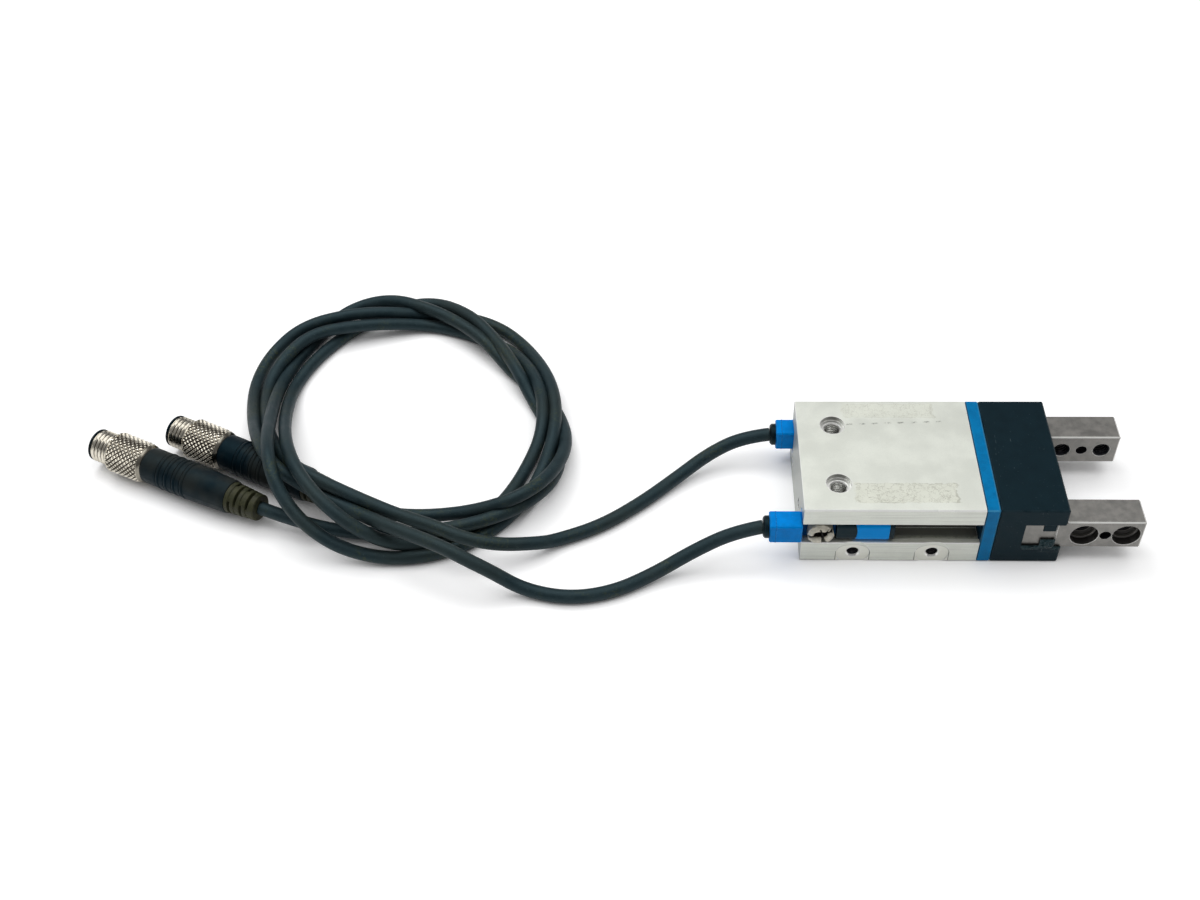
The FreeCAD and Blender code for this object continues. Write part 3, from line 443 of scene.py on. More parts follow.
def aluminium():
    f = Finish("satin_aluminium", srgb(216, 219, 211), 0.45, 0.5)
    cloud = f.cloud(0.16, 5, 0.6)
    grain = f.cloud(5.5, 3, 0.6)
    draw = f.cloud(1.0, 3, 0.6, stretch=(0.05, 2.6, 2.6))
    tone = f.blend(f.step(cloud, 0.35, 0.68), srgb(216, 219, 210), srgb(224, 227, 218))
    tone = f.blend(f.times(f.step(grain, 0.5, 0.72), 0.3), tone, srgb(196, 198, 191))
    # drawn lines along the sides of the extrusion
    side = f.step(f.op("ABSOLUTE", f.facing("Y")), 0.5, 0.9)
    tone = f.blend(f.times(side, f.step(draw, 0.45, 0.7), 0.3), tone, srgb(178, 179, 172))
    tone = sensor_slots(f, tone)
    top = f.step(f.z, BODY_TOP - 0.2, BODY_TOP - 0.05)
    ragged = f.times(f.op("SUBTRACT", f.cloud(0.7, 4, 0.65), 0.5), 2.2)
    tone, stain, creased = adhesive(f, tone, ragged, top)
    tone = scuffs(f, tone, ragged, top)
    tone, cut, outline = machined(f, tone)
    tone = rear_face_shade(f, tone)
    wear_and_highlight = edge_wear_and_highlight(f, cut, outline)
    f.set("Base Color", f.blend(f.times(wear_and_highlight, 0.9), tone, srgb(254, 254, 252)))
    f.set("Metallic", f.times(f.lerp(cut, 0.5, 1.0), f.but(f.times(wear_and_highlight, 0.8))))
    dull = f.lerp(f.step(cloud, 0.3, 0.7), 0.40, 0.50)
    dull = f.lerp(stain, dull, 0.62)
    dull = f.lerp(cut, dull, 0.28)
    f.set("Roughness", f.lerp(wear_and_highlight, dull, 0.25))
    pits = f.op("ADD", f.times(grain, 0.5), f.times(draw, side, 0.8))
    pits = f.op("ADD", pits, f.times(stain, creased, 1.5))
    f.relief(f.times(pits, f.but(cut)), 0.012, 0.12)
    return f.material


def cover_blue():
    f = Finish("blue_anodised_cover", srgb(0, 112, 168), 0.42,
               Specular_IOR_Level=0.3, Specular_Tint=BLUE_TINT)
    mottle = f.mottle(0.5, 4, 0.6)
    tone = f.blend(mottle, srgb(0, 104, 158), srgb(0, 118, 176))
    tone = f.blend(f.times(f.step(f.cloud(6, 2), 0.62, 0.72), 0.4), tone, srgb(60, 150, 195))
    # worn edges, and the chamfers lightened as a painted highlight
    wear_and_highlight = f.times(f.edges(0.22), f.step(f.cloud(0.9, 3), 0.3, 0.6))
    wear_and_highlight = f.op("MAXIMUM", wear_and_highlight, f.times(f.chamfers(), 0.6))
    tone = f.blend(f.times(wear_and_highlight, 0.65), tone, srgb(96, 172, 208))
    # the joint to the body is a dark line, and the face in it, seen only down the sensor slot, is painted
    # black as shade
    line = f.times(f.step(f.x, BODY_FRONT + 0.30, BODY_FRONT + 0.22), f.step(f.facing("Y"), -0.5, -0.8))
    joint_line_and_face_shade = f.op("MAXIMUM", f.step(f.facing("X"), -0.5, -0.8), line)
    f.set("Base Color", f.blend(f.times(joint_line_and_face_shade, 0.9), tone, srgb(0, 18, 30)))
    f.set("Roughness", f.lerp(mottle, 0.36, 0.50))
    f.relief(f.cloud(7, 3), 0.008, 0.12)
    return f.material


OILY_FROM, OILY_LOW, OILY_HIGH = 43.2, 3.2, 7.0


def head_black():
    f = Finish("black_anodised_head", srgb(16, 32, 38), 0.50,
               Specular_IOR_Level=0.16, Specular_Tint=COOL_TINT)
    mottle = f.mottle(0.35, 5, 0.6)
    tone = f.blend(mottle, srgb(6, 20, 27), srgb(12, 27, 34))
    dust = f.times(f.step(f.cloud(2.9, 2), 0.70, 0.76), f.step(f.cloud(0.25, 2), 0.40, 0.62))
    tone = f.blend(f.times(dust, 0.6), tone, srgb(112, 120, 122))
    streak = f.cloud(1.0, 2, 0.5, stretch=(1.1, 0.16, 0.4), warp=1.2)
    scratch = f.times(f.step(streak, 0.70, 0.715), f.step(f.cloud(0.13, 2), 0.55, 0.62))
    tone = f.blend(f.times(scratch, 0.45), tone, srgb(100, 110, 112))
    # chipped edges, and the chamfers lightened as a painted highlight
    chips_and_highlight = f.times(f.edges(0.2), f.step(f.cloud(0.8, 4, 0.65), 0.38, 0.60))
    chips_and_highlight = f.op("MAXIMUM", chips_and_highlight, f.times(f.chamfers(), f.step(f.cloud(0.4, 3), 0.35, 0.6), 0.6))
    tone = f.blend(f.times(chips_and_highlight, 0.4), tone, srgb(62, 76, 82))
    # oily, rubbed lips of the slot in which the jaws run
    lip = f.times(f.step(f.x, OILY_FROM, OILY_FROM + 0.7), f.band(f.z, OILY_LOW, OILY_HIGH, 0.3))
    bare = f.times(lip, f.step(f.cloud(1.3, 5, 0.7), 0.58, 0.66))
    f.set("Base Color", f.blend(f.times(bare, 0.4), tone, srgb(128, 134, 132)))
    dull = f.lerp(mottle, 0.44, 0.58)
    f.set("Roughness", f.lerp(lip, dull, 0.28))
    f.relief(f.op("ADD", f.cloud(6, 3), f.times(lip, f.cloud(1.6, 4, 0.65), 3.0)), 0.016, 0.15)
    return f.material


def ground_steel(name, dark, light, rough, marks=None):
    f = Finish(name, light, rough, 0.9)
    cloud = f.cloud(0.5, 5, 0.6)
    mottle = f.step(cloud, 0.3, 0.7)
    grind = f.cloud(1.0, 3, 0.6, stretch=(9, 0.7, 0.7))
    tone = f.blend(mottle, dark, light)
    tone = f.blend(f.times(f.step(grind, 0.45, 0.75), 0.22), tone, tuple(c * 0.66 for c in light))
    tone = f.blend(f.times(f.step(f.cloud(2.6, 3), 0.62, 0.74), 0.12), tone, tuple(c * 0.5 for c in dark))
    # edges and chamfers painted near white: painted highlights
    wear_and_highlight = f.op("MAXIMUM", f.times(f.edges(0.12), 0.6), f.chamfers())
    tone = f.blend(f.times(wear_and_highlight, 0.9), tone, srgb(244, 244, 240))
    metal = f.lerp(wear_and_highlight, 0.9, 0.25)
    if marks:
        tone, metal = marks(f, tone, metal)
    f.set("Base Color", tone)
    f.set("Metallic", metal)
    f.set("Roughness", f.lerp(mottle, rough, rough + 0.14))
    f.relief(f.op("ADD", f.times(grind, 0.7), f.times(cloud, 0.4)), 0.006, 0.12)
    return f.material


CHAMFER_FOOT, GROUND_END = 11.9, 46.4


def jaw_marks(f, tone, metal):
    """A painted dark line of shade at the foot of the painted-highlight top chamfer, painted shade in the
    screw holes and the end of the ground length.
    """
    chamfer_foot_shade = f.times(f.chamfers(), f.band(f.z, CHAMFER_FOOT - 0.04, CHAMFER_FOOT + 0.10, 0.02))
    tone = f.blend(f.times(chamfer_foot_shade, 0.7), tone, srgb(86, 82, 74))
    # painted shade in the holes, blackest in the narrow ones, with painted highlights on two rings at the
    # steps of a counterbore
    rise = f.op("SUBTRACT", f.z, MIDDLE)
    hole = f.away(f.off_pair(f.x, *JAW_HOLES.values()), rise)
    pin = f.away(f.op("SUBTRACT", f.x, sum(JAW_HOLES.values()) / 2), rise)
    dowel = f.step(pin, 1.3, 1.26)
    sunk = f.step(f.off(f.op("ABSOLUTE", f.y), JAW_MIDDLE), 3.58, 3.40)
    jaw_hole_shade = f.times(f.op("MAXIMUM", f.step(hole, 3.14, 3.08), dowel), sunk)
    narrow = f.op("MAXIMUM", f.step(hole, 2.05, 1.95), dowel)
    tone = f.blend(f.times(jaw_hole_shade, 0.95), tone, srgb(58, 56, 54))
    tone = f.blend(f.times(jaw_hole_shade, narrow, 0.9), tone, srgb(26, 27, 36))
    tone = f.blend(f.times(jaw_hole_shade, f.band(hole, 2.69, 2.76, 0.03), 0.8), tone, srgb(170, 168, 160))
    tone = f.blend(f.times(jaw_hole_shade, f.band(hole, 2.26, 2.34, 0.03), 0.7), tone, srgb(150, 148, 142))
    # a fine line where the jaw leaves its slot
    end = f.band(f.x, GROUND_END - 0.04, GROUND_END + 0.06, 0.04)
    tone = f.blend(f.times(end, 0.6), tone, srgb(72, 70, 66))
    return tone, f.lerp(jaw_hole_shade, metal, 0.5)


def moulded(name, low, high, rough, glint, tint, grain=0.010, marks=None, shine=0.3):
    f = Finish(name, low, rough, Specular_IOR_Level=shine, Specular_Tint=tint)
    mottle = f.mottle(0.6, 4, 0.6)
    tone = f.blend(mottle, low, high)
    # flecks in the glint colour: painted highlights
    tone = f.blend(f.times(f.step(f.cloud(4.5, 2), 0.68, 0.76), 0.35), tone, glint)
    if marks:
        tone = marks(f, tone)
    # patchy edges in the glint colour: painted highlight
    wear_and_highlight = f.times(f.edges(0.16), f.step(f.cloud(1.1, 3), 0.3, 0.6))
    f.set("Base Color", f.blend(f.times(wear_and_highlight, 0.45), tone, glint))
    f.set("Roughness", f.lerp(mottle, rough - 0.06, rough + 0.08))
    f.relief(f.cloud(8, 3), grain, 0.12)
    return f.material


# places along the near sensor
BLOCK_LINE, CARRIER_REAR, CARRIER_FRONT, SLEEVE_START, LAP_START = -13.7, -7.95, -0.45, 3.0, 3.92


def far_side(f):
    """1 on the far sensor, 0 on the near one."""
    return f.step(f.y, -1.0, 1.0)


def along_sensor(f):
    """The place along either sensor, as if it were the near one."""
    return f.op("SUBTRACT", f.x, f.times(far_side(f), FAR_SHIFT))


def sensor_marks(f, tone):
    """The carrier under the clamp screw is painted darker, as shade; a fine mould line crosses the rear
    block.
    """
    along = along_sensor(f)
    tone = f.blend(f.times(f.band(along, CARRIER_REAR, CARRIER_FRONT, 0.05), 0.86), tone, srgb(2, 38, 80))
    # the sleeve is moulded in a lighter blue than the block
    tone = f.blend(f.times(f.step(along, SLEEVE_START, SLEEVE_START + 0.4), 0.8), tone, srgb(4, 150, 236))
    line = f.op("ADD", along, f.times(f.op("SUBTRACT", f.cloud(0.6, 2), 0.5), 0.5))
    line = f.band(line, BLOCK_LINE - 0.06, BLOCK_LINE + 0.04, 0.05)
    return f.blend(f.times(line, 0.7), tone, srgb(0, 58, 128))


def sleeve_edge(f, tone):
    """The blue sleeve laps round the end of the barrel in a shallow curve."""
    along = along_sensor(f)
    level = f.op("ADD", f.op("SUBTRACT", f.z, NEAR_LEVEL), f.times(far_side(f), NEAR_LEVEL - FAR_LEVEL))
    lap = f.op("ADD", along, f.times(level, level, 0.075))
    lap = f.times(f.step(lap, LAP_START, LAP_START + 0.06), f.step(along, 4.6, 4.4))
    return f.blend(lap, tone, srgb(2, 144, 232))


def faded(f, tone):
    """The over-mould has worn to a dark warm grey where the plug is held."""
    rubbed = f.step(f.cloud(0.07, 3, 0.6), 0.46, 0.66)
    return f.blend(f.times(rubbed, 0.7), tone, srgb(41, 41, 37))


def bright_metal(name, low, high, rough, stain, metal=1.0, shade_and_marks=None, stained=0.6):
    f = Finish(name, low, rough, metal)
    mottle = f.mottle(0.9, 5, 0.65)
    tone = f.blend(mottle, low, high)
    tone = f.blend(f.times(f.step(f.cloud(0.45, 4, 0.7), 0.50, 0.72), stained), tone, stain)
    if shade_and_marks:
        tone = shade_and_marks(f, tone)
    f.set("Base Color", tone)
    f.set("Roughness", f.lerp(mottle, rough, rough + 0.12))
    f.relief(f.cloud(2.5, 3), 0.004)
    return f.material


def groove_shade(f, tone):
    """Painted shade low in the thread and between the points of the knurl."""
    point = f.node("ShaderNodeNewGeometry").outputs["Pointiness"]
    return f.blend(f.times(f.step(point, 0.505, 0.45), 0.9), tone, srgb(52, 47, 39))


# distances along a plug, from the middle of its mating face
NUT_FRONT, THREAD_END, KNURL_END, NUT_END = 0.5, 5.7, 14.8, 15.5


def nut_shade_and_collar(face, ahead):
    """The painted shade in the grooves of a coupling nut, and its dull turned collar at the end of the
    knurl.
    """
    def shade_and_marks(f, tone):
        along = f.vector("DOT_PRODUCT", f.vector("SUBTRACT", f.mm, face), ahead, result="Value")
        collar = f.step(along, KNURL_END - 0.05, KNURL_END + 0.1)
        return f.blend(f.times(collar, 0.85), groove_shade(f, tone), srgb(116, 112, 102))
    return shade_and_marks


def screw_slot_shade(f, tone):
    """Painted shade, nearly black, down in the slot of a clamp screw; the head's own frame has Y along its
    axis.
    """
    low = f.step(f.op("ABSOLUTE", f.y), 2.45, 2.05)
    return f.blend(f.times(low, f.step(f.away(f.x, f.z), 2.75, 2.5)), tone, srgb(30, 26, 22))


def cable_jacket():
    f = Finish("cable_jacket", srgb(28, 42, 46), 0.52, Specular_IOR_Level=0.35, Specular_Tint=SLATE_TINT)
    mottle = f.mottle(0.28, 5, 0.65)
    tone = f.blend(mottle, srgb(17, 31, 36), srgb(33, 46, 50))
    rubbed = f.times(f.step(f.cloud(0.11, 3, 0.6), 0.50, 0.64), f.step(f.cloud(1.6, 4, 0.7), 0.46, 0.62))
    tone = f.blend(f.times(rubbed, 0.65), tone, srgb(60, 64, 36))
    tone = f.blend(f.times(f.step(f.cloud(0.05, 2), 0.48, 0.62), 0.4), tone, srgb(40, 44, 38))
    dust = f.times(f.step(f.cloud(3.2, 2), 0.65, 0.73), 0.35)
    f.set("Base Color", f.blend(dust, tone, srgb(80, 92, 92)))
    f.set("Roughness", f.lerp(mottle, 0.48, 0.64))
    f.relief(f.cloud(3.5, 4, 0.65), 0.03)
    return f.material


NICKEL_TONES = srgb(206, 199, 184), srgb(228, 223, 210), 0.15, srgb(176, 165, 144)


def plated_nut(plug, face, ahead):
    return bright_metal(f"{plug}_nut_plate", *NICKEL_TONES, shade_and_marks=nut_shade_and_collar(face, ahead), stained=0.3)


ALUMINIUM = aluminium()
COVER = cover_blue()
HEAD = head_black()
JAW = ground_steel("ground_jaw_steel", srgb(118, 117, 114), srgb(138, 136, 132), 0.34, jaw_marks)
STEEL = ground_steel("turned_steel", srgb(150, 152, 154), srgb(196, 198, 200), 0.28)
MAGNET = ground_steel("magnet_ring", srgb(58, 58, 60), srgb(84, 84, 86), 0.40)
SENSOR_BLUE = moulded(
    "sensor_blue_plastic", srgb(0, 124, 208), srgb(0, 136, 224), 0.40, srgb(90, 184, 236), BLUE_TINT,
    marks=sensor_marks, shine=0.2)
BARREL = moulded(
    "sensor_black_plastic", srgb(3, 12, 17), srgb(10, 20, 25), 0.42, srgb(74, 84, 88), COOL_TINT,
    marks=sleeve_edge, shine=0.2)
PLUG = moulded(
    "plug_black_overmould", srgb(2, 14, 22), srgb(8, 21, 28), 0.50, srgb(46, 54, 56), COOL_TINT,
    grain=0.02, marks=faded, shine=0.14)
OLIVE = moulded(
    "olive_strain_relief", srgb(34, 38, 24), srgb(54, 56, 36), 0.55, srgb(100, 98, 68), WARM_TINT,
    grain=0.02)
GREASE = moulded(
    "dried_grease", srgb(10, 17, 19), srgb(30, 40, 40), 0.26, srgb(120, 132, 128), COOL_TINT, grain=0.03)
SEAL = moulded("seal_rubber", srgb(20, 20, 20), srgb(34, 34, 33), 0.60, srgb(70, 70, 68), WARM_TINT)
NICKEL = bright_metal("nickel_plate", *NICKEL_TONES, stained=0.3)
CUT = bright_metal(
    "cut_aluminium", srgb(214, 215, 212), srgb(236, 236, 233), 0.20, srgb(176, 176, 168), shade_and_marks=groove_shade)
# the port threads are dark all over: painted shade inside the ports
SHADED_PORT_THREAD = bright_metal("port_thread_painted_shade", srgb(58, 58, 62), srgb(96, 96, 98), 0.30, srgb(34, 34, 36))
WORN = bright_metal(
    "worn_screw_metal", srgb(176, 172, 158), srgb(214, 210, 197), 0.46, srgb(140, 133, 116), metal=0.5,
    shade_and_marks=screw_slot_shade)
GOLD = bright_metal("gold_contacts", srgb(222, 176, 84), srgb(240, 200, 116), 0.22, srgb(176, 128, 52))
BRONZE = bright_metal("bronze_bush", srgb(158, 112, 66), srgb(190, 142, 88), 0.34, srgb(110, 76, 44))
JACKET = cable_jacket()

by_slot = {
    "aluminium": ALUMINIUM, "cover_blue": COVER, "head_black": HEAD, "steel": STEEL, "jaw_steel": JAW,
    "nickel": NICKEL, "seal": SEAL, "bronze": BRONZE, "magnet": MAGNET, "sensor_blue": SENSOR_BLUE,
    "sensor_black": BARREL, "plug_black": PLUG, "gold": GOLD, "olive": OLIVE, "cable": JACKET}


def dress(obj, material):
    if not obj.data.materials:
        obj.data.materials.append(material)
    for place in obj.material_slots:
        place.material = material


for obj in nodes.values():
    dress(obj, by_slot[obj.material_slots[0].material.name])
for cord in (far_cord, near_cord):
    dress(cord, JACKET)


# pieces in mesh code


def triangle(phase):
    """0 at whole numbers, 1 half way between them."""
    return 1 - abs(2 * (phase - math.floor(phase)) - 1)


def ease(value, low, high):
    """0 at low, 1 at high, smooth between."""
    t = min(1.0, max(0.0, (value - low) / (high - low)))
    return t * t * (3 - 2 * t)


def stretch(first, last, step):
    """Places from first to last, about step apart."""
    count = max(1, round((last - first) / step))
    return [first + (last - first) * k / count for k in range(count + 1)]


def mesh_of(name, points, faces):
    """A mesh from points in metres."""
    mesh = bpy.data.meshes.new(name)
    mesh.from_pydata(points, [], faces)
    return mesh


def smooth(mesh, sharp):
    """Smooth shading, apart from edges past sharp degrees."""
    mesh.shade_smooth()
    mesh.set_sharp_from_angle(angle=math.radians(sharp))


def tube_faces(rows, around, closed):
    """Faces between rows of points round an axis; closed joins the last row to the first."""
    faces = []
    for i in range(rows if closed else rows - 1):
        j = (i + 1) % rows
        for k in range(around):
            m = (k + 1) % around
            faces.append((i * around + k, j * around + k, j * around + m, i * around + m))
    return faces


def place_piece(obj, body, slot, material, *stands_for):
    dress(obj, material)
    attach(obj, body)
    if stands_for:
        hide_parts(*stands_for)
    return obj


def ring_piece(name, start, ahead, profile, around, shape, body, slot, material, *stands_for):
    """A closed ring about an axis.

    The profile is a loop of (distance along, radius), and shape moves each of its points.
    """
    ahead = Vector(ahead).normalized()
    side = ahead.cross(Vector((0, 0, 1)))
    side = side.normalized() if side.length > 0.1 else Vector((1, 0, 0))
    up = side.cross(ahead)
    points = []
    for along, radius in profile:
        for k in range(around):
            angle = TURN * k / around
            a, r = shape(along, radius, angle)
            out = side * math.cos(angle) + up * math.sin(angle)
            points.append((Vector(start) + ahead * a + out * r) * MM)
    mesh = mesh_of(name, points, tube_faces(len(profile), around, True))
    smooth(mesh, 32)
    return place_piece(link(name, mesh), body, slot, material, *stands_for)


# plugs

# the middle of the mating face, and how far the axis is turned from X, in degrees
PLUGS = {"front": ((-172.7, 13.8, 4.9), -25.3), "rear": ((-155.2, 18.5, 4.9), -26.7)}
THREAD_R, KNURL_R, COLLAR_R, NUT_BORE = 3.95, 4.9, 4.45, 3.5
THREAD_LAST, KNURL_START, TAPER_START = THREAD_END - 0.35, THREAD_END + 0.3, 13.5
THREAD_PITCH, THREAD_DEPTH = 1.0, 0.42
KNURL_STARTS, KNURL_FINE, KNURL_ROWS, KNURL_DEPTH, KNURL_FLAT = 24, 8, 7, 0.42, 1.8
KNURL_PITCH = (KNURL_END - KNURL_START) / KNURL_ROWS
BORE_MARGIN = 0.1


def nut_shape(along, radius, angle):
    turns = angle / TURN
    if radius < NUT_BORE + BORE_MARGIN:
        return along, radius
    if along < THREAD_LAST:
        fade = ease(along, NUT_FRONT, NUT_FRONT + 0.5) * ease(along, THREAD_END - 0.5, THREAD_END - 1.2)
        return along, radius - THREAD_DEPTH * fade * triangle(along / THREAD_PITCH - turns)
    if KNURL_START < along < KNURL_END:
        run = (along - KNURL_START) / KNURL_PITCH
        peak = min(triangle(KNURL_STARTS * turns + run), triangle(KNURL_STARTS * turns - run))
        return along, radius - KNURL_DEPTH * (1 - min(1.0, KNURL_FLAT * peak))
    return along, radius


def nut_profile():
    loop = [(NUT_FRONT, THREAD_R - 0.45)]
    loop += [(a, THREAD_R) for a in stretch(NUT_FRONT + 0.25, THREAD_LAST, 0.1)]
    loop += [(THREAD_END - 0.1, THREAD_R - 0.05), (THREAD_END + 0.1, THREAD_R + 0.35)]
    for a in stretch(KNURL_START, KNURL_END, KNURL_PITCH / KNURL_FINE):
        tapered = max(0, a - TAPER_START) / (NUT_END - TAPER_START)
        loop.append((a, KNURL_R - (KNURL_R - COLLAR_R) * tapered))
    loop += [(KNURL_END + 0.08, COLLAR_R + 0.06), (KNURL_END + 0.25, COLLAR_R), (NUT_END, COLLAR_R - 0.5)]
    return loop + [(NUT_END, NUT_BORE), (NUT_FRONT, NUT_BORE)]


GRIP_START, GRIP_END, GRIP_R, GRIP_END_R, GRIP_BORE = 15.6, 39.6, 4.3, 3.85, 1.6
GROOVE_FIRST, GROOVE_PITCH, GROOVES, GROOVES_END = 21.5, 2.3, 4, 29.5
GRIP_RIB_HALF, GRIP_RIB_HIGH, GRIP_RIB_CUT = 0.6, 0.13, 0.20
SEAM_ANGLE, SEAM_HIGH = 0.04, 0.07


def grip_shape(along, radius, angle):
    if radius < GRIP_BORE + BORE_MARGIN:
        return along, radius
    # each low rib has a groove on both sides
    for k in range(GROOVES):
        near = abs(along - (GROOVE_FIRST - GRIP_RIB_HALF + k * GROOVE_PITCH))
        if near < GRIP_RIB_HALF:
            rib = GRIP_RIB_HIGH * (1 - ease(near, 0.05, 0.5))
            radius += rib - GRIP_RIB_CUT * (1 - ease(abs(near - 0.5), 0.0, 0.14))
    # parting line of the mould along both sides
    for seam in (SEAM_ANGLE, math.pi + SEAM_ANGLE):
        off = abs(math.remainder(angle - seam, TURN)) * radius
        radius += SEAM_HIGH * (1 - ease(off, 0.05, 0.22)) * ease(along, GRIP_START + 1, GRIP_START + 2)
    return along, radius


def grip_profile():
    loop = [(GRIP_START, GRIP_R - 0.35), (GRIP_START + 0.25, GRIP_R - 0.05)]
    loop += [(a, GRIP_R) for a in stretch(GRIP_START + 0.5, GROOVE_FIRST - 1.4, 0.5)]
    loop += [(a, GRIP_R) for a in stretch(GROOVE_FIRST - 1.2, GROOVES_END, 0.1)]
    tail = GRIP_END - 1.0
    for a in stretch(GROOVES_END + 0.4, tail, 0.7):
        loop.append((a, GRIP_R - 0.25 * ease(a, GROOVES_END, tail)))
    loop += [(GRIP_END - 0.5, GRIP_END_R + 0.12), (GRIP_END - 0.12, GRIP_END_R)]
    return loop + [(GRIP_END, GRIP_END_R - 0.25), (GRIP_END, GRIP_BORE), (GRIP_START, GRIP_BORE)]


RELIEF_START, RELIEF_END = GRIP_END + 0.02, 47.4
RELIEF_R, RELIEF_END_R, RELIEF_BORE = 3.7, 3.1, 1.5
RELIEF_FIRST, RELIEF_PITCH, RELIEF_GROOVES = 40.9, 1.55, 4
RELIEF_DEPTH, WINDOW_DEPTH, WINDOW_TURN = 0.22, 0.75, 0.6


def relief_shape(along, radius, angle):
    if radius < RELIEF_BORE + BORE_MARGIN:
        return along, radius
    for k in range(RELIEF_GROOVES):
        near = abs(along - RELIEF_FIRST - k * RELIEF_PITCH)
        # each groove is deepest on two sides, a quarter turn on from the one before
        window = ease(math.cos(2 * angle + math.pi * k + WINDOW_TURN), -0.35, 0.05)
        radius -= (RELIEF_DEPTH + WINDOW_DEPTH * window) * (1 - ease(near, 0.24, 0.36))
    return along, radius


def relief_profile():
    loop = []
    for a in stretch(RELIEF_START, RELIEF_END - 0.2, 0.11):
        share = (a - RELIEF_START) / (RELIEF_END - RELIEF_START)
        loop.append((a, RELIEF_R + (RELIEF_END_R - RELIEF_R) * share))
    loop += [(RELIEF_END, RELIEF_END_R - 0.25), (RELIEF_END, RELIEF_BORE)]
    return loop + [(RELIEF_START, RELIEF_BORE)]


for plug, (face, turned) in PLUGS.items():
    ahead = (math.cos(math.radians(turned)), math.sin(math.radians(turned)), 0)
    made = [
        ring_piece(f"{plug}_knurled_nut", face, ahead, nut_profile(), KNURL_STARTS * KNURL_FINE, nut_shape,
                   f"{plug}_nut", "nickel", plated_nut(plug, face, ahead), f"{plug}_plug_coupling_nut"),
        ring_piece(f"{plug}_moulded_grip", face, ahead, grip_profile(), 96, grip_shape,
                   "housing", "plug_black", PLUG, f"{plug}_plug_grip"),
        ring_piece(f"{plug}_ribbed_relief", face, ahead, relief_profile(), 96, relief_shape,
                   "housing", "olive", OLIVE, f"{plug}_plug_strain_relief")]


# stepped liners in the jaws' counterbores, from a lip just proud of the face inwards

BORE_STEPS = [
    (-0.012, 3.18), (-0.012, 3.06), (0.06, 3.0), (1.9, 3.0), (2.1, 2.72), (2.9, 2.68), (3.36, 2.3),
    (3.36, 1.68), (3.42, 1.68), (3.42, 3.14), (0.03, 3.14)]


def as_drawn(along, radius, angle):
    return along, radius


for place, x in JAW_HOLES.items():
    for jaw, face, inward in (("near", -JAW_OUTER, 1), ("far", JAW_OUTER, -1)):
        ring_piece(f"{jaw}_jaw_counterbore_{place}", (x, face, MIDDLE), (0, inward, 0), BORE_STEPS, 96,
                   as_drawn, f"{jaw}_jaw", "jaw_steel", JAW)


# threads in the mounting holes, the air ports and the jaws

# core radius and pitch
M4, M3 = (1.65, 0.7), (1.25, 0.5)
MOUNT_THREAD_TOP, MOUNT_THREAD_LENGTH = 15.0, 14.0
PORT_THREAD_Y, PORT_THREAD_LENGTH = -16.3, 7.0
JAW_THREADS_Y, JAW_THREAD_LENGTH = {"near": -13.1, "far": 9.65}, 3.4


def bore_thread(name, mouth, inward, size, length, body, slot, finish):
    radius, pitch = size
    depth = 0.3 * pitch

    def thread_shape(along, r, angle):
        if r > radius:
            return along, r
        fade = ease(along, 0.0, pitch) * ease(along, length, length - pitch)
        return along, r - depth * fade * triangle(along / pitch - angle / TURN)

    loop = [(0.0, radius + 0.1)] + [(a, radius - 0.01) for a in stretch(0.0, length, pitch / 8)]
    ring_piece(name, mouth, inward, loop + [(length, radius + 0.1)], 64, thread_shape, body, slot, finish)


for end, y in (("near", -MOUNT_Y), ("far", MOUNT_Y)):
    bore_thread(f"mount_thread_{end}", (0, y, MOUNT_THREAD_TOP), (0, 0, -1), M4, MOUNT_THREAD_LENGTH,
                "housing", "aluminium", CUT)
for place, x in PORTS.items():
    bore_thread(f"port_thread_{place}", (x, PORT_THREAD_Y, PORT_LEVEL), (0, 1, 0), M3, PORT_THREAD_LENGTH,
                "housing", "aluminium", SHADED_PORT_THREAD)
for place, x in JAW_HOLES.items():
    for jaw, y in JAW_THREADS_Y.items():
        bore_thread(f"{jaw}_jaw_thread_{place}", (x, y, MIDDLE), (0, 1, 0), M4, JAW_THREAD_LENGTH,
                    f"{jaw}_jaw", "jaw_steel", JAW)


# clamp screws: round heads chewed into petals about a torn slot

SCREW_R, SCREW_HIGH, SCREW_SINK = 2.8, 3.0, 1.5
SCREW_X, SCREW_Y = -4.0, 15.0
SCREW_RINGS, SCREW_WALLS, SCREW_AROUND = 30, 5, 144
# tears: the start and end of each, and its half width there
SCREW_TEARS = (
    ((-0.50, 0.05), (0.60, 0.1), 0.92, 0.82),
    ((-1.0, -0.45), (-3.4, -1.05), 0.34, 0.22),
    ((0.9, 0.45), (3.4, 1.45), 0.30, 0.22),
    ((0.45, -0.8), (0.95, -3.4), 0.24, 0.50),
    ((0.1, 0.8), (-0.15, 1.7), 0.14, 0.03),
    ((1.0, 0.7), (1.5, 1.5), 0.16, 0.03))


def from_tear(u, w):
    """How far a point of the head lies outside the nearest tear; negative inside one."""
    nearest = SCREW_R
    for (u0, w0), (u1, w1), wide0, wide1 in SCREW_TEARS:
        du, dw = u1 - u0, w1 - w0
        t = min(1.0, max(0.0, ((u - u0) * du + (w - w0) * dw) / (du * du + dw * dw)))
        away = math.hypot(u - u0 - t * du, w - w0 - t * dw)
        nearest = min(nearest, away - wide0 - (wide1 - wide0) * t)
    return nearest


def screw_edge(angle, down):
    """The radius of the ragged head; its splay dies away as down goes from 0 to 1."""
    lobes = math.sin(5 * angle + 0.8) + 0.7 * math.sin(9 * angle + 2.1) + 0.5 * math.sin(14 * angle)
    splay = 0.10 * ease(math.sin(angle), 0.3, -0.3)
    return SCREW_R * (0.97 + 0.012 * lobes + splay * (1 - down))


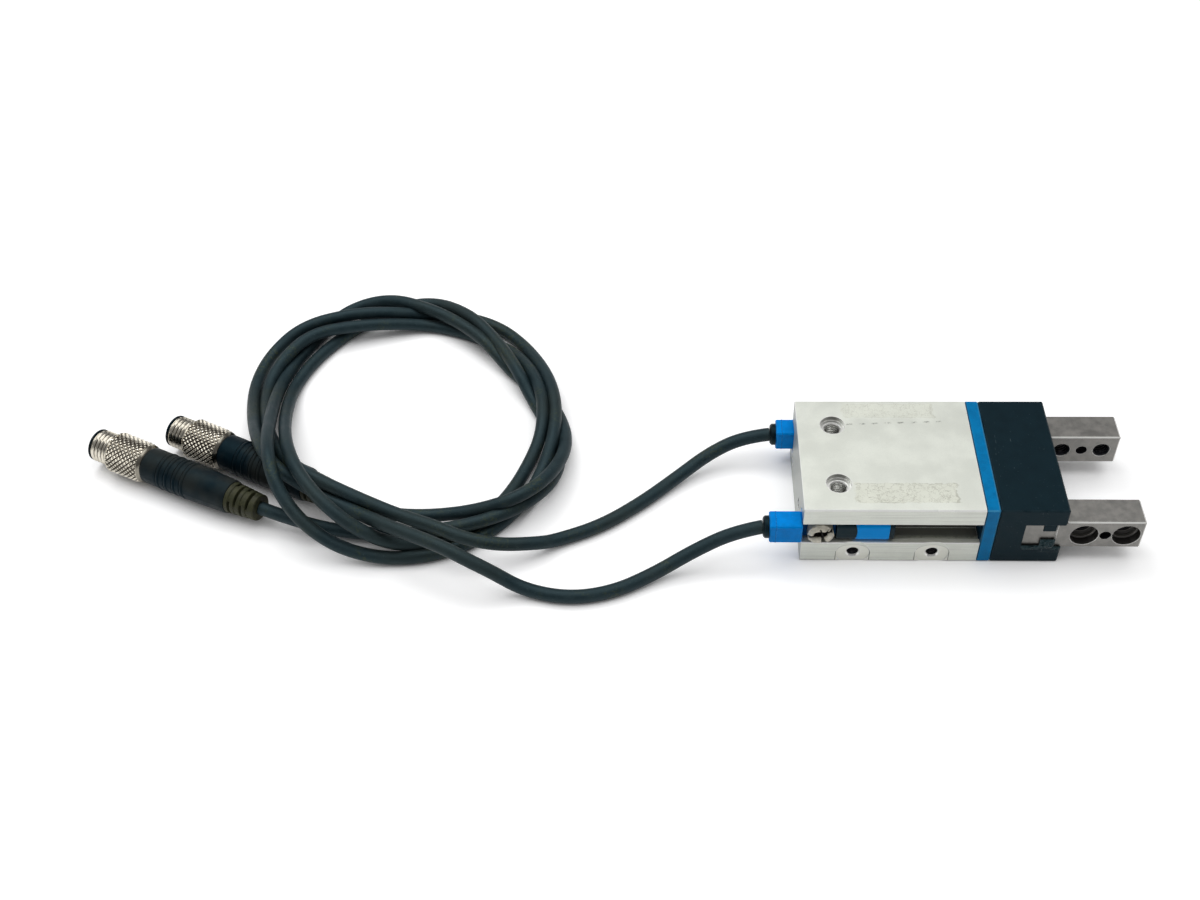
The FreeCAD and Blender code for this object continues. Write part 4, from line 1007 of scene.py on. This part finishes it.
def screw_height(u, w, share):
    """The height of the head's top at a point that lies share of the way out to its edge."""
    gap = from_tear(u, w)
    h = SCREW_HIGH - 0.05 + 0.06 * math.sin(2.1 * u + 1.0) * math.sin(2.7 * w)
    h -= 0.70 * ease(share, 0.60, 1.0) ** 2 + 0.42 * ease(gap, 0.60, 0.0)
    return h - SCREW_SINK * ease(gap, 0.10, -0.12)


def screw_points(outward):
    """Rings of points out over the top of the head and down its wall."""
    points = []
    for k in range(SCREW_RINGS + SCREW_WALLS):
        share = min(k, SCREW_RINGS) / SCREW_RINGS
        down = max(0, k - SCREW_RINGS)
        for m in range(SCREW_AROUND):
            angle = TURN * m / SCREW_AROUND
            edge = screw_edge(angle, down / SCREW_WALLS)
            u, w = edge * share * math.cos(angle), edge * share * math.sin(angle)
            h = screw_height(u, w, share)
            if down:
                h = min(h, SCREW_HIGH - 0.8) * (1 - down / (SCREW_WALLS - 1))
            points.append((u * MM, outward * h * MM, w * MM))
    return points


def close_up(mesh):
    """Joins the points that coincide, fills the open end and turns every face outwards."""
    bm = bmesh.new()
    bm.from_mesh(mesh)
    bmesh.ops.remove_doubles(bm, verts=bm.verts, dist=1e-7)
    bmesh.ops.holes_fill(bm, edges=[e for e in bm.edges if e.is_boundary])
    bmesh.ops.recalc_face_normals(bm, faces=bm.faces)
    bm.to_mesh(mesh)
    bm.free()


def screw_head(name, base, outward, node):
    faces = tube_faces(SCREW_RINGS + SCREW_WALLS, SCREW_AROUND, False)
    if outward > 0:
        faces = [face[::-1] for face in faces]
    mesh = mesh_of(name, screw_points(outward), faces)
    close_up(mesh)
    smooth(mesh, 55)
    obj = link(name, mesh)
    obj.location = Vector(base) * MM
    return place_piece(obj, "housing", "nickel", WORN, node)


screw_head("near_clamp_screw_head", (SCREW_X, -SCREW_Y, NEAR_LEVEL), -1, "near_sensor_clamp_screw")
screw_head("far_clamp_screw_head", (SCREW_X + FAR_SHIFT, SCREW_Y, FAR_LEVEL), 1, "far_sensor_clamp_screw")


# dried grease and burrs where the near jaw runs out of its slot

CRUST_COLS, CRUST_ROWS, CRUST_ROOT = 40, 28, 0.15


def lump(x, z):
    """How thick the crust is at a place, about 0 to 1."""
    coarse = noise.noise(Vector((x, 3.0, z)) * 2.3)
    fine = noise.noise(Vector((x, 7.0, z)) * 6.0)
    return 0.55 + 0.6 * coarse + 0.3 * fine


def crust_points(low, high, thick):
    """A lumpy outer layer, then a flat one just inside the head."""
    points = []
    for outer in (True, False):
        for i in range(CRUST_COLS + 1):
            for j in range(CRUST_ROWS + 1):
                s, t = i / CRUST_COLS, j / CRUST_ROWS
                x, z = low[0] + (high[0] - low[0]) * s, low[1] + (high[1] - low[1]) * t
                fade = min(1.0, 7 * s * (1 - s) * 4 * t * (1 - t))
                out = max(-0.1, lump(x, z) * fade - 0.18) * thick if outer else -CRUST_ROOT
                points.append((x * MM, (-BODY_SIDE - out) * MM, z * MM))
    return points


def crust_faces():
    cols, rows, line = CRUST_COLS, CRUST_ROWS, CRUST_ROWS + 1
    layer = (cols + 1) * line
    faces = []
    for i in range(cols):
        for j in range(rows):
            a = i * line + j
            quad = (a, a + line, a + line + 1, a + 1)
            faces += [quad, tuple(layer + v for v in reversed(quad))]
    border = list(range(line)) + [i * line + rows for i in range(1, cols + 1)]
    border += [cols * line + j for j in reversed(range(rows))]
    border += [i * line for i in reversed(range(1, cols))]
    for a, b in zip(border, border[1:] + border[:1]):
        faces.append((a, b, layer + b, layer + a))
    return faces


def crust(name, low, high, thick):
    """A lumpy skin on the near side of the head, between two corners (x, z)."""
    mesh = mesh_of(name, crust_points(low, high, thick), crust_faces())
    mesh.shade_smooth()
    return place_piece(link(name, mesh), "housing", "head_black", GREASE)


crust("slot_lip_burr", (43.5, 4.3), (46.8, 7.3), 0.40)
crust("slot_floor_grime", (39.6, 3.9), (44.0, 5.3), 0.30)
crust("slot_corner_grime", (46.4, 3.9), (48.3, 5.0), 0.26)


# mould lines round the rear blocks of the sensors

BLOCK_WIDE, BLOCK_HIGH, BLOCK_EASE = 2.5, 2.6, 0.3
# distance along, and height above the block
SEAM_PROFILE = [(-0.18, -0.2), (-0.14, 0.02), (0.0, 0.07), (0.14, 0.02), (0.18, -0.2)]


def seam_shape(along, height, angle):
    across, up = abs(math.cos(angle)), abs(math.sin(angle))
    flat = min(BLOCK_WIDE / max(across, 1e-6), BLOCK_HIGH / max(up, 1e-6))
    corner = (BLOCK_WIDE + BLOCK_HIGH - BLOCK_EASE) / (across + up)
    return along + 0.05 * math.sin(3 * angle), min(flat, corner) + height


for end, middle in (("near", (BLOCK_LINE, -BLOCK_Y, NEAR_LEVEL)),
                    ("far", (BLOCK_LINE + FAR_SHIFT, BLOCK_Y, FAR_LEVEL))):
    ring_piece(f"{end}_sensor_mould_line", middle, (1, 0, 0), SEAM_PROFILE, 160, seam_shape,
               "housing", "sensor_blue", SENSOR_BLUE)


# floor and light

# metres
FLOOR_HALF, FLOOR_DROP, GAP_REACH = 6.0, 0.00004, 0.010
FLOOR_GLOW = 0.28
# the floor turns plain white between these distances
WHITE_FROM, WHITE_AT = 300, 900
# the world's light at the horizon and overhead, and the heights between which the white in mirrors ends
HORIZON_LIGHT, ZENITH_LIGHT = 0.06, 0.40
MIRRORED_WHITE, MIRRORED_END = 0.04, 0.30
# lamps: place and aim, width and height in metres, and watts
LAMPS = {
    "ceiling_panel": ((-0.10, 0.18, 0.90), (-0.10, 0.18, 0.0), (1.60, 1.00), 8.0),
    "back_panel": ((-0.30, 0.42, 0.80), (-0.05, 0.0, 0.0), (0.40, 0.30), 1.3)}


def add_floor():
    s, z = FLOOR_HALF, -FLOOR_DROP
    corners = [(-s, -s, z), (s, -s, z), (s, s, z), (-s, s, z)]
    floor = link("floor", mesh_of("floor", corners, [(0, 1, 2, 3)]))
    f = Finish("pale_floor", (0.90, 0.90, 0.90), 0.7)
    f.set("Base Color", f.blend(f.cloud(0.02, 3), (0.89, 0.89, 0.90), (0.91, 0.91, 0.91)))
    f.set("Specular IOR Level", 0.1)
    f.set("Emission Color", (1, 1, 1))
    # far from the part, where the lamps no longer reach, the floor shows as plain white
    away = f.vector("LENGTH", f.mm, result="Value")
    # and close under the part, in its narrow gaps, an occlusion mask takes the glow away, so nothing lifts
    # the shadow: painted shade there
    cover = f.node("ShaderNodeAmbientOcclusion", samples=8)
    f.put(cover.inputs["Distance"], GAP_REACH)
    glow = f.times(f.step(cover.outputs["AO"], 0.15, 0.70), FLOOR_GLOW)
    glow = f.lerp(f.step(away, WHITE_FROM, WHITE_AT), glow, 1.0)
    f.set("Emission Strength", f.times(f.seen(), glow))
    dress(floor, f.material)


def add_world():
    world = bpy.data.worlds.new("studio")
    scene.world = world
    world.use_nodes = True
    n = Nodes(world.node_tree)
    back = n.tree.nodes["Background"].inputs
    n.put(back["Color"], (1, 1, 1))
    place = n.node("ShaderNodeTexCoord").outputs["Generated"]
    height = n.node("ShaderNodeSeparateXYZ", place).outputs["Z"]
    # white to the camera, and round the horizon in what metal mirrors; that white gives no light
    backdrop = n.seen(n.ramp(height, MIRRORED_WHITE, MIRRORED_END, 1.0, 0.0))
    light = n.ramp(height, 0.0, 1.0, HORIZON_LIGHT, ZENITH_LIGHT)
    n.put(back["Strength"], n.op("MAXIMUM", backdrop, light))


def add_lamp(name, place, aim, size, power):
    data = bpy.data.lights.new(name, "AREA")
    data.shape = "RECTANGLE"
    data.size, data.size_y = size
    data.energy = power
    lamp = link(name, data)
    lamp.location = place
    lamp.rotation_euler = (Vector(aim) - Vector(place)).to_track_quat("-Z", "Y").to_euler()


add_floor()
add_world()
for name, lamp in LAMPS.items():
    add_lamp(name, *lamp)
scene.view_settings.view_transform = "Standard"

bpy.context.view_layer.update()
